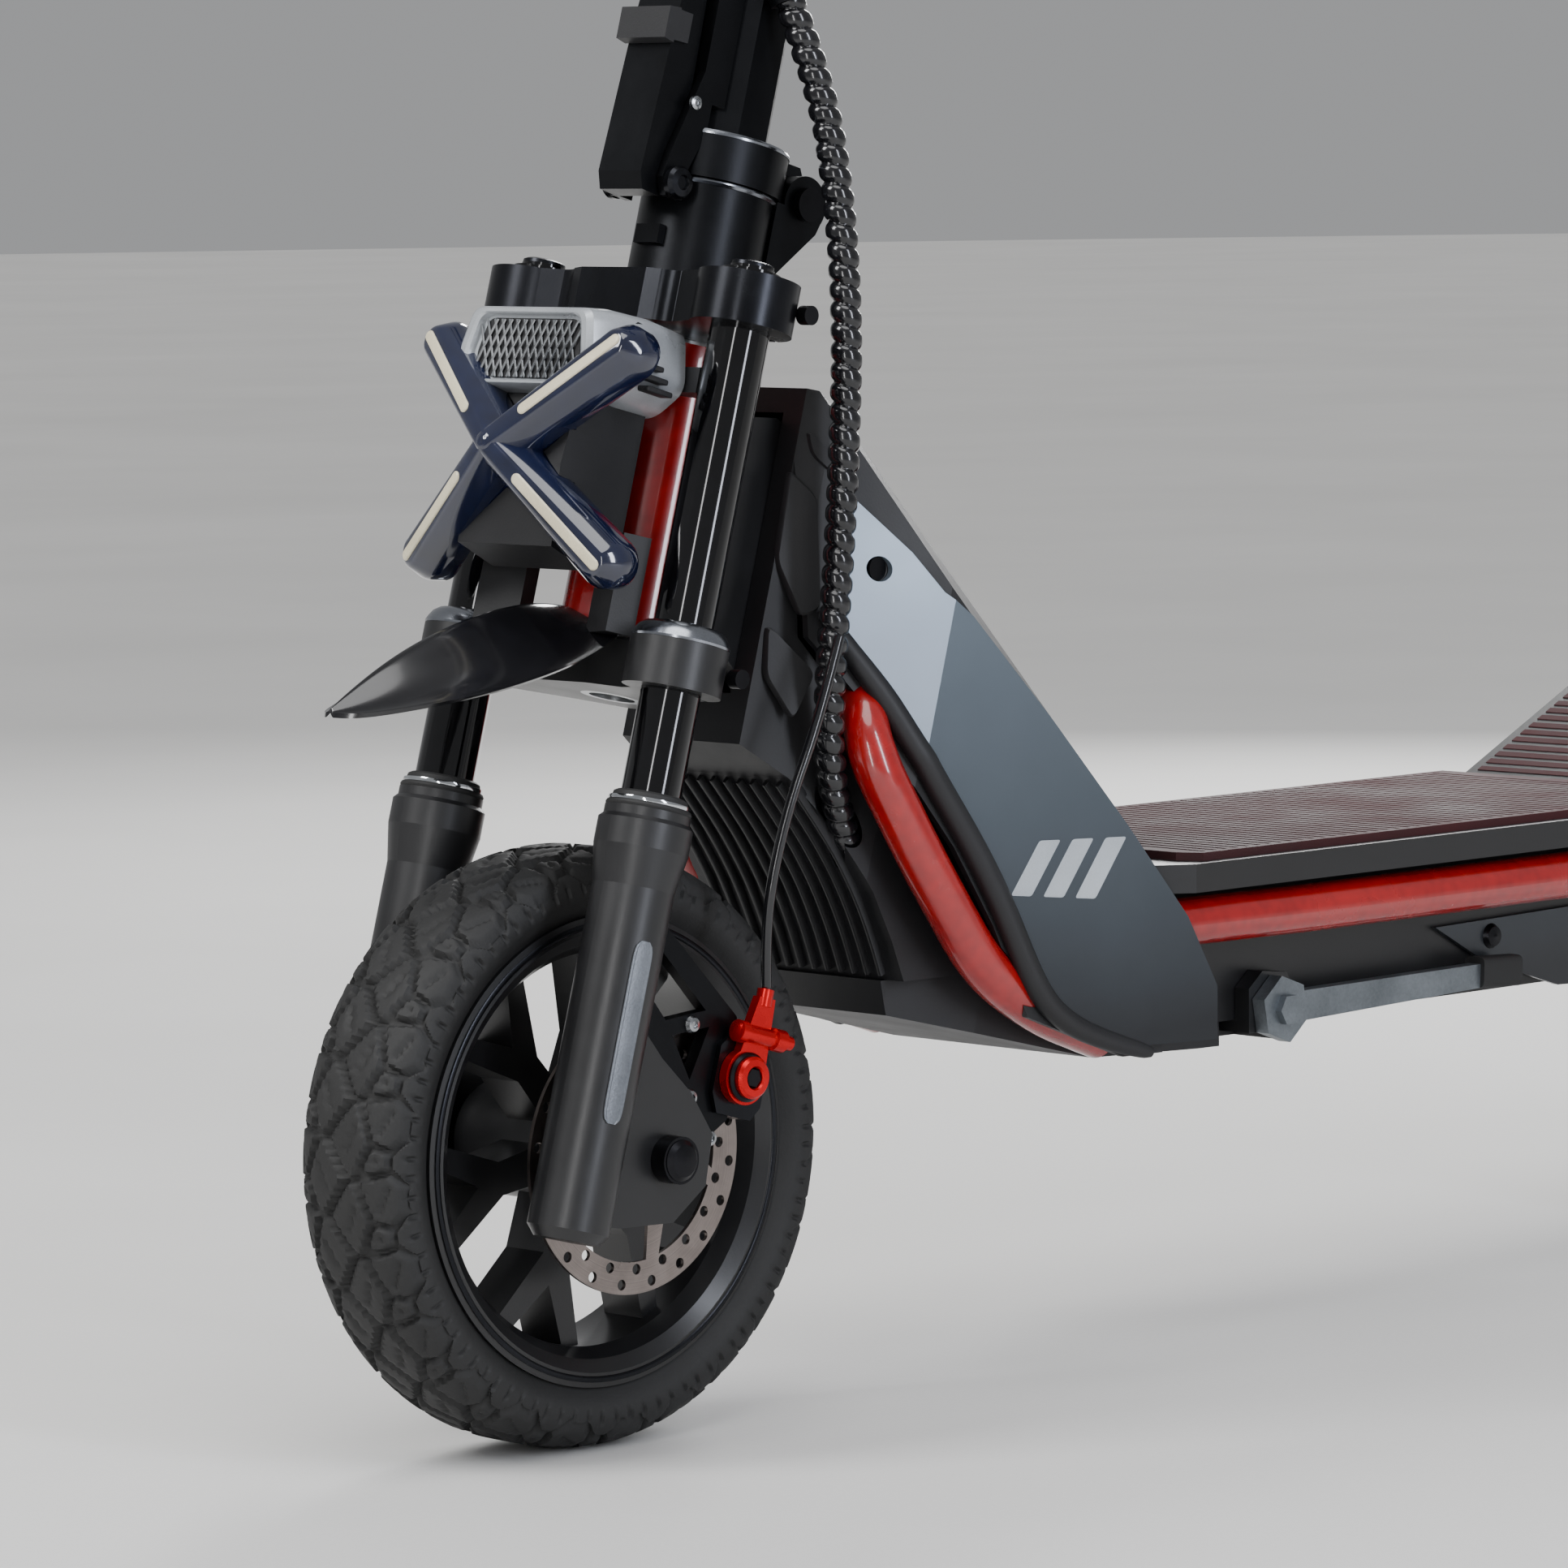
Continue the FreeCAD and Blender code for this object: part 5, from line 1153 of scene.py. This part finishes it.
# ------------------------------------------------------------------ neck
@dataclass
class NeckTrim:
    """Relief of the neck cover, edge moulding, mark on the side panels and arch ribs.

    Routes are given as distance behind the front axle and height, outlines in the steering frame.
    """

    arch: tuple = ((104, 304), (128, 276), (145, 250), (156, 226), (162, 209))
    panel_edge: tuple = ((118, 385), (126, 368), (144, 342), (156, 313), (184, 273), (206, 233), (223, 191),
                         (252, 174), (290, 163))
    mark_front: tuple = ((-192.0, 158.0), (-203.0, 187.0))
    mark_rear: tuple = ((-243.0, 167.0), (-255.0, 200.0))
    mark_pitch: float = 0.38     # shares of the mark's length
    mark_bar: float = 0.24
    rib_count: int = 12
    rib_pitch: float = 9.0

    @staticmethod
    def panel_y(v: Array) -> Array:
        """Half width of the side panel's outer face at a distance behind the steering axis."""
        return np.interp(-np.asarray(v, float), [60, 127, 345], [53.2, 84.0, 110.2])

    @staticmethod
    def cover_y(v: Array) -> Array:
        """Half width of the black cover at a distance behind the steering axis."""
        return np.interp(-np.asarray(v, float), [48, 60, 127, 345], [40, 49.3, 80.2, 106.2])

    def on_panel(self, name: str, corners: Array, lift: float, thick: float, steering: SteeringFrame,
                 width: Callable, side: int, r: float) -> Solid:
        """Thin plate laid on a side face.

        Args:
            name: Name of the piece.
            corners: Outline, as (forward, up) pairs.
            lift: How far the plate stands proud of the face.
            thick: Thickness of the plate.
            steering: The steering frame.
            width: Half width of the side face at a forward place.
            side: 1 for the left face, -1 for the right one.
            r: Rounding of the corners.

        Returns:
            The piece.
        """
        outline = rounded(corners, r, 4)
        middle = outline.mean(0)
        rings = []
        for grow, out in ((1.0, lift - thick), (1.0, lift - 0.25 * thick), (0.96, lift)):
            flat = middle + (outline - middle) * grow
            rings.append(np.column_stack([flat[:, 0], side * (width(flat[:, 0]) + out), flat[:, 1]]))
        return loft(name, steering.place(np.array(rings)), smooth_deg=25)

    def mark(self, steering: SteeringFrame) -> None:
        """Three slanted bars on each front panel."""
        front, rear = np.array(self.mark_front), np.array(self.mark_rear)
        bars = []
        for side in (1, -1):
            for k in range(3):
                a = self.mark_pitch * k
                near, far = front + (rear - front) * a, front + (rear - front) * (a + self.mark_bar)
                bars.append(self.on_panel("bar", [near[0], near[1], far[1], far[0]], 0.35, 1.0, steering,
                                          self.panel_y, side, 1.5))
        settle(joined("panel_mark_bars", bars), PRINT_GREY, "frame")

    def facets(self, steering: SteeringFrame) -> None:
        """Raised facets of the black cover beside the fork."""
        shapes = (((-46, 330), (-58, 320), (-69, 268), (-61, 262), (-48, 286)),
                  ((-49, 256), (-72, 238), (-66, 214), (-52, 232)),
                  ((-50, 350), (-60, 341), (-66, 330), (-54, 338)))
        plates = [self.on_panel("facet", corners, 2.2, 3.4, steering, self.cover_y, side, 4.0)
                  for side in (1, -1) for corners in shapes]
        settle(joined("neck_cover_facets", plates), MOULDED_NYLON, "frame")

    def moulding(self, steering: SteeringFrame) -> None:
        """Round black edge along the front and underside of each panel."""
        line = spline(self.panel_edge, 90)
        x, z = FRONT_AXLE_X - line[:, 0], line[:, 1]
        v = (x - steering.origin[0]) * steering.forward[0] + (z - steering.origin[2]) * steering.forward[2]
        path = np.column_stack([x, self.panel_y(v) - 1.5, z])
        half = np.linspace(0, math.pi, 90)
        section = circle(1.0, 18)[None] * (2.5 + 4.0 * np.sin(half) ** 0.4)[:, None, None]
        parts = [loft("moulding", carry(path * [1, side, 1], section, up=(0, 1, 0)), smooth_deg=60)
                 for side in (1, -1)]
        settle(joined("panel_edge_mouldings", parts), MOULDED_NYLON, "frame")

    def ribs(self) -> None:
        """Upright ribs on the cover's hollow front, above and behind the wheel."""
        line = spline(self.arch, 24)
        section = rounded([(-1.6, -2.5), (1.6, -2.5), (1.1, 3.0), (-1.1, 3.0)], 0.8, 3)
        parts = []
        for k in range(self.rib_count):
            y = (k - (self.rib_count - 1) / 2) * self.rib_pitch
            path = np.column_stack([FRONT_AXLE_X - line[:, 0], np.full(len(line), y), line[:, 1]])
            parts.append(loft("rib", carry(path, section, up=(1, 0, 0.6)), smooth_deg=40))
        settle(joined("neck_cover_ribs", parts), MOULDED_NYLON, "frame")

    def build(self, steering: SteeringFrame) -> None:
        """Builds the trim on both sides."""
        self.mark(steering)
        self.facets(steering)
        self.moulding(steering)
        self.ribs()


# ------------------------------------------------------------------ stem, bar and deck trim
ON_AXIS = (((0, 0, 0), 1),)
STEM_SETS = (
    # the next two chamfer rings at the hinge collar: their pale colour is a painted highlight
    TurnedSet("stem_collar_chamfer", ((31.8, 475.0), (33.6, 474.6), (34.5, 473.4), (34.4, 472.4),
                                      (31.8, 472.4)),
              "z", ON_AXIS, 96, PAINTED_HIGHLIGHT_ANODISED, "stem", "steel"),
    TurnedSet("stem_base_chamfer", ((30.6, 449.4), (31.6, 449.2), (32.6, 450.4), (32.4, 451.4),
                                    (30.6, 451.4)),
              "z", ON_AXIS, 96, PAINTED_HIGHLIGHT_ANODISED, "steering", "steel"),
    TurnedSet("latch_pin_bosses", ((0, 19.3), (7.6, 19.3), (7.8, 22.6), (6.6, 24.4), (3.6, 25.2), (3.0, 24.0),
                                   (0, 24.0)),
              "y", (((40.0, 0.0, 445.0), 1), ((40.0, 0.0, 445.0), -1)), 40, MACHINED, "latch_lever",
              "machined_dark"),
    TurnedSet("stem_cheek_screws", ((0, 18.8), (3.4, 18.8), (3.2, 20.6), (1.8, 21.2), (1.4, 20.2), (0, 20.2)),
              "y", (((37.0, 0.0, 484.0), 1), ((37.0, 0.0, 484.0), -1)), 24, STEEL, "stem", "steel"),
)


@dataclass
class BarTrim:
    """Ribbed grips and the glass of the display, in the steering frame."""

    bar_z: float = 1222.0
    bar_r: float = 11.1
    end: float = 343.0
    ribs: tuple[float, float] = (224.0, 334.0)
    display: tuple = ((-30.0, 1246.0), (34.0, 1270.0))       # rear and front edge of its face

    def build(self, steering: SteeringFrame) -> None:
        """Builds both grips and the glass."""
        start, stop = self.ribs
        y = np.linspace(start, stop, 221)
        ripple = 15.9 + 0.004 * (y - start) + 0.55 * np.abs(np.sin((y - start) * math.pi / 5.5))
        outer = [(self.bar_r, 216), (18.6, 216), (19.2, 217), (19.2, 219.4), (17, 221.6)]
        outer += list(zip(ripple, y)) + [(17.6, 337), (17.8, 341), (17.2, self.end + 2), (9.8, self.end + 2),
                                         (9.8, self.end + 0.3), (self.bar_r, self.end + 0.3)]
        grips = [spun("grip", outer, "y", (0, 0, self.bar_z), side, 72, steering) for side in (1, -1)]
        piece = joined("ribbed_grips", grips)
        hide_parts("grips")
        settle(piece, GRIP_RUBBER, "stem")
        corner, slope = np.array(self.display[0]), np.subtract(self.display[1], self.display[0])
        slope /= np.linalg.norm(slope)
        normal = np.array([-slope[1], slope[0]])
        outline = rounded([(6, -34), (62, -34), (62, 34), (6, 34)], 7, 6)
        middle = outline.mean(0)
        rings = []
        for share, lift in ((1.0, -0.8), (1.0, 0.4), (0.985, 0.8)):
            flat = middle + (outline - middle) * share
            place = corner + flat[:, :1] * slope + lift * normal
            rings.append(np.column_stack([place[:, 0], flat[:, 1], place[:, 1]]))
        glass = loft("display_glass", steering.place(np.array(rings)), smooth_deg=30)
        settle(glass, SCREEN, "stem")


@dataclass
class DeckTrim:
    """Red pad on the kick plate and dark sleeve on the kickstand: distance behind the axle, and height."""

    pad: tuple = ((754.0, 253.2), (860.0, 304.2))
    pad_half_width: float = 86.0
    sleeve: tuple = ((545.0, 177.6), (560.0, 176.8), (575.0, 176.2))
    sleeve_y: float = 89.4

    def build(self) -> None:
        """Builds the pieces in the scooter's frame."""
        start, end = np.array(self.pad)
        length = float(np.linalg.norm(end - start))
        slope = (end - start) / length
        normal = np.array([-slope[1], slope[0]])
        s = np.linspace(0, length, 241)
        lift = 2.2 + 0.9 * (np.mod(s / 8.0, 1.0) < 0.6)
        lift[[0, -1]] = 0.2
        top = start + s[:, None] * slope + lift[:, None] * normal
        low = start + s[::-1, None] * slope - 0.3 * normal
        outline = np.concatenate([top, low])
        outline[:, 0] = FRONT_AXLE_X - outline[:, 0]
        pad = loft("kick_plate_pad", slab(outline, -self.pad_half_width, self.pad_half_width, "y", 0.2),
                   smooth_deg=25)
        settle(pad, MAT_RUBBER, "frame")
        path = np.array([[FRONT_AXLE_X - b, self.sleeve_y, z] for b, z in self.sleeve])
        section = rounded([(-6.6, -8.0), (6.6, -8.0), (6.6, 8.0), (-6.6, 8.0)], 4, 5)
        sleeve = loft("kickstand_sleeve", carry(path, section), smooth_deg=40)
        settle(sleeve, GRIP_RUBBER, "kickstand")


# ------------------------------------------------------------------ studio
@dataclass
class Studio:
    """Pale floor, soft lights and the camera."""

    target: tuple[float, float, float] = (339.3, 0.0, 297.8)
    distance: float = 3500.0
    yaw: float = 45.952
    height: float = 5.269
    roll: float = -0.759
    lens: float = 168.43
    floor_r: float = 30000.0
    sky_strength: float = 0.5
    ceiling_power: float = 1.5
    # name, place, aim, size, power and colour, in metres and watts
    soft_boxes: tuple = (("key", (2.4, -0.6, 2.4), (0.35, 0.0, 0.4), (0.9, 1.6), 70, "#ffffff"),
                         ("left_strip", (0.4, 2.8, 1.5), (0.2, 0.0, 0.4), (0.35, 2.4), 55, "#eef3ff"),
                         ("back_strip", (-2.2, -1.8, 1.7), (0.3, 0.0, 0.5), (0.5, 2.2), 70, "#ffffff"),
                         ("front_strip", (3.0, 1.6, 0.9), (0.5, 0.0, 0.3), (0.25, 1.8), 22, "#ffffff"))

    def camera(self) -> None:
        """Long lens at the front left, a little above the deck."""
        yaw, height, roll = (math.radians(a) for a in (self.yaw, self.height, self.roll))
        back = Vector((math.cos(height) * math.cos(yaw), math.cos(height) * math.sin(yaw), math.sin(height)))
        right = Vector((0, 0, 1)).cross(back).normalized()
        up = back.cross(right)
        turned = right * math.cos(roll) + up * math.sin(roll)
        up = back.cross(turned)
        data = bpy.data.cameras.new("camera")
        data.sensor_width = 36.0
        data.lens = self.lens
        data.clip_end = 60.0
        camera = bpy.data.objects.new("camera", data)
        place = Matrix((turned, up, back)).transposed().to_4x4()
        place.translation = (Vector(self.target) + back * self.distance) * MM
        camera.matrix_world = place
        bpy.context.scene.collection.objects.link(camera)
        bpy.context.scene.camera = camera

    def light(self, name: str, place: Sequence[float], aim: Sequence[float], size: tuple[float, float],
              power: float, colour: str) -> None:
        """One soft box, placed in metres and aimed at a point."""
        data = bpy.data.lights.new(name, "AREA")
        data.shape = "RECTANGLE"
        data.size, data.size_y = size
        data.energy = power
        data.color = linear(colour)[:3]
        lamp = bpy.data.objects.new(name, data)
        lamp.location = place
        lamp.rotation_euler = (Vector(aim) - Vector(place)).to_track_quat("-Z", "Y").to_euler()
        bpy.context.scene.collection.objects.link(lamp)

    def build(self) -> None:
        """Builds the floor, the lights, the surroundings and the camera."""
        rim = circle(self.floor_r, 128)
        floor = new_object("floor", np.column_stack([rim, 0 * rim[:, 0]]), [list(range(len(rim)))],
                           closed=False)
        dress(floor, Finish("pale_grey_matte_paper_roll", "#c9c8c6", "#d4d3d1", (0.7, 0.8), scale_mm=3.0,
                            depth_mm=0.01, patch_mm=900.0))
        world = bpy.data.worlds.new("studio")
        world.use_nodes = True
        world.node_tree.nodes["Background"].inputs["Color"].default_value = linear("#d8d9db")
        world.node_tree.nodes["Background"].inputs["Strength"].default_value = self.sky_strength
        bpy.context.scene.world = world
        sun = bpy.data.lights.new("ceiling", "SUN")
        sun.energy = self.ceiling_power
        sun.angle = math.radians(40)
        lamp = bpy.data.objects.new("ceiling", sun)
        lamp.rotation_euler = (math.radians(-14), math.radians(10), 0.0)
        bpy.context.scene.collection.objects.link(lamp)
        for box in self.soft_boxes:
            self.light(*box)
        self.camera()


def main() -> None:
    """Loads the frame, builds every piece and sets the studio."""
    logging.basicConfig(level=logging.INFO, format="%(message)s")
    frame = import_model()
    steering = SteeringFrame.from_joints(frame["joints"], trail=AXLE_BEHIND_STEERING)
    joint = {j["name"]: j for j in frame["joints"]}
    front = np.array(joint["front_wheel_spin"]["pos_m"]) / MM
    rear = np.array(joint["rear_wheel_spin"]["pos_m"]) / MM
    for finish, names in NODES_BY_FINISH.items():
        for name in names.split():
            dress(frame["nodes"][name], finish)
    Studio().build()
    Cords().build()
    Wheels().build(front, rear)
    Lamp().build(steering)
    Beak().build(steering)
    ForkTrim().build(steering)
    build_brake_trim(steering)
    NeckTrim().build(steering)
    for turned in STEM_SETS:
        turned.build(steering)
    BarTrim().build(steering)
    DeckTrim().build()
    top = np.array(joint["shock_swing"]["pos_m"]) / MM
    up = np.array(joint["shock_compress"]["axis"])
    Springs().build(steering, top, top - up * SHOCK_EYES)


if __name__ == "__main__":
    main()
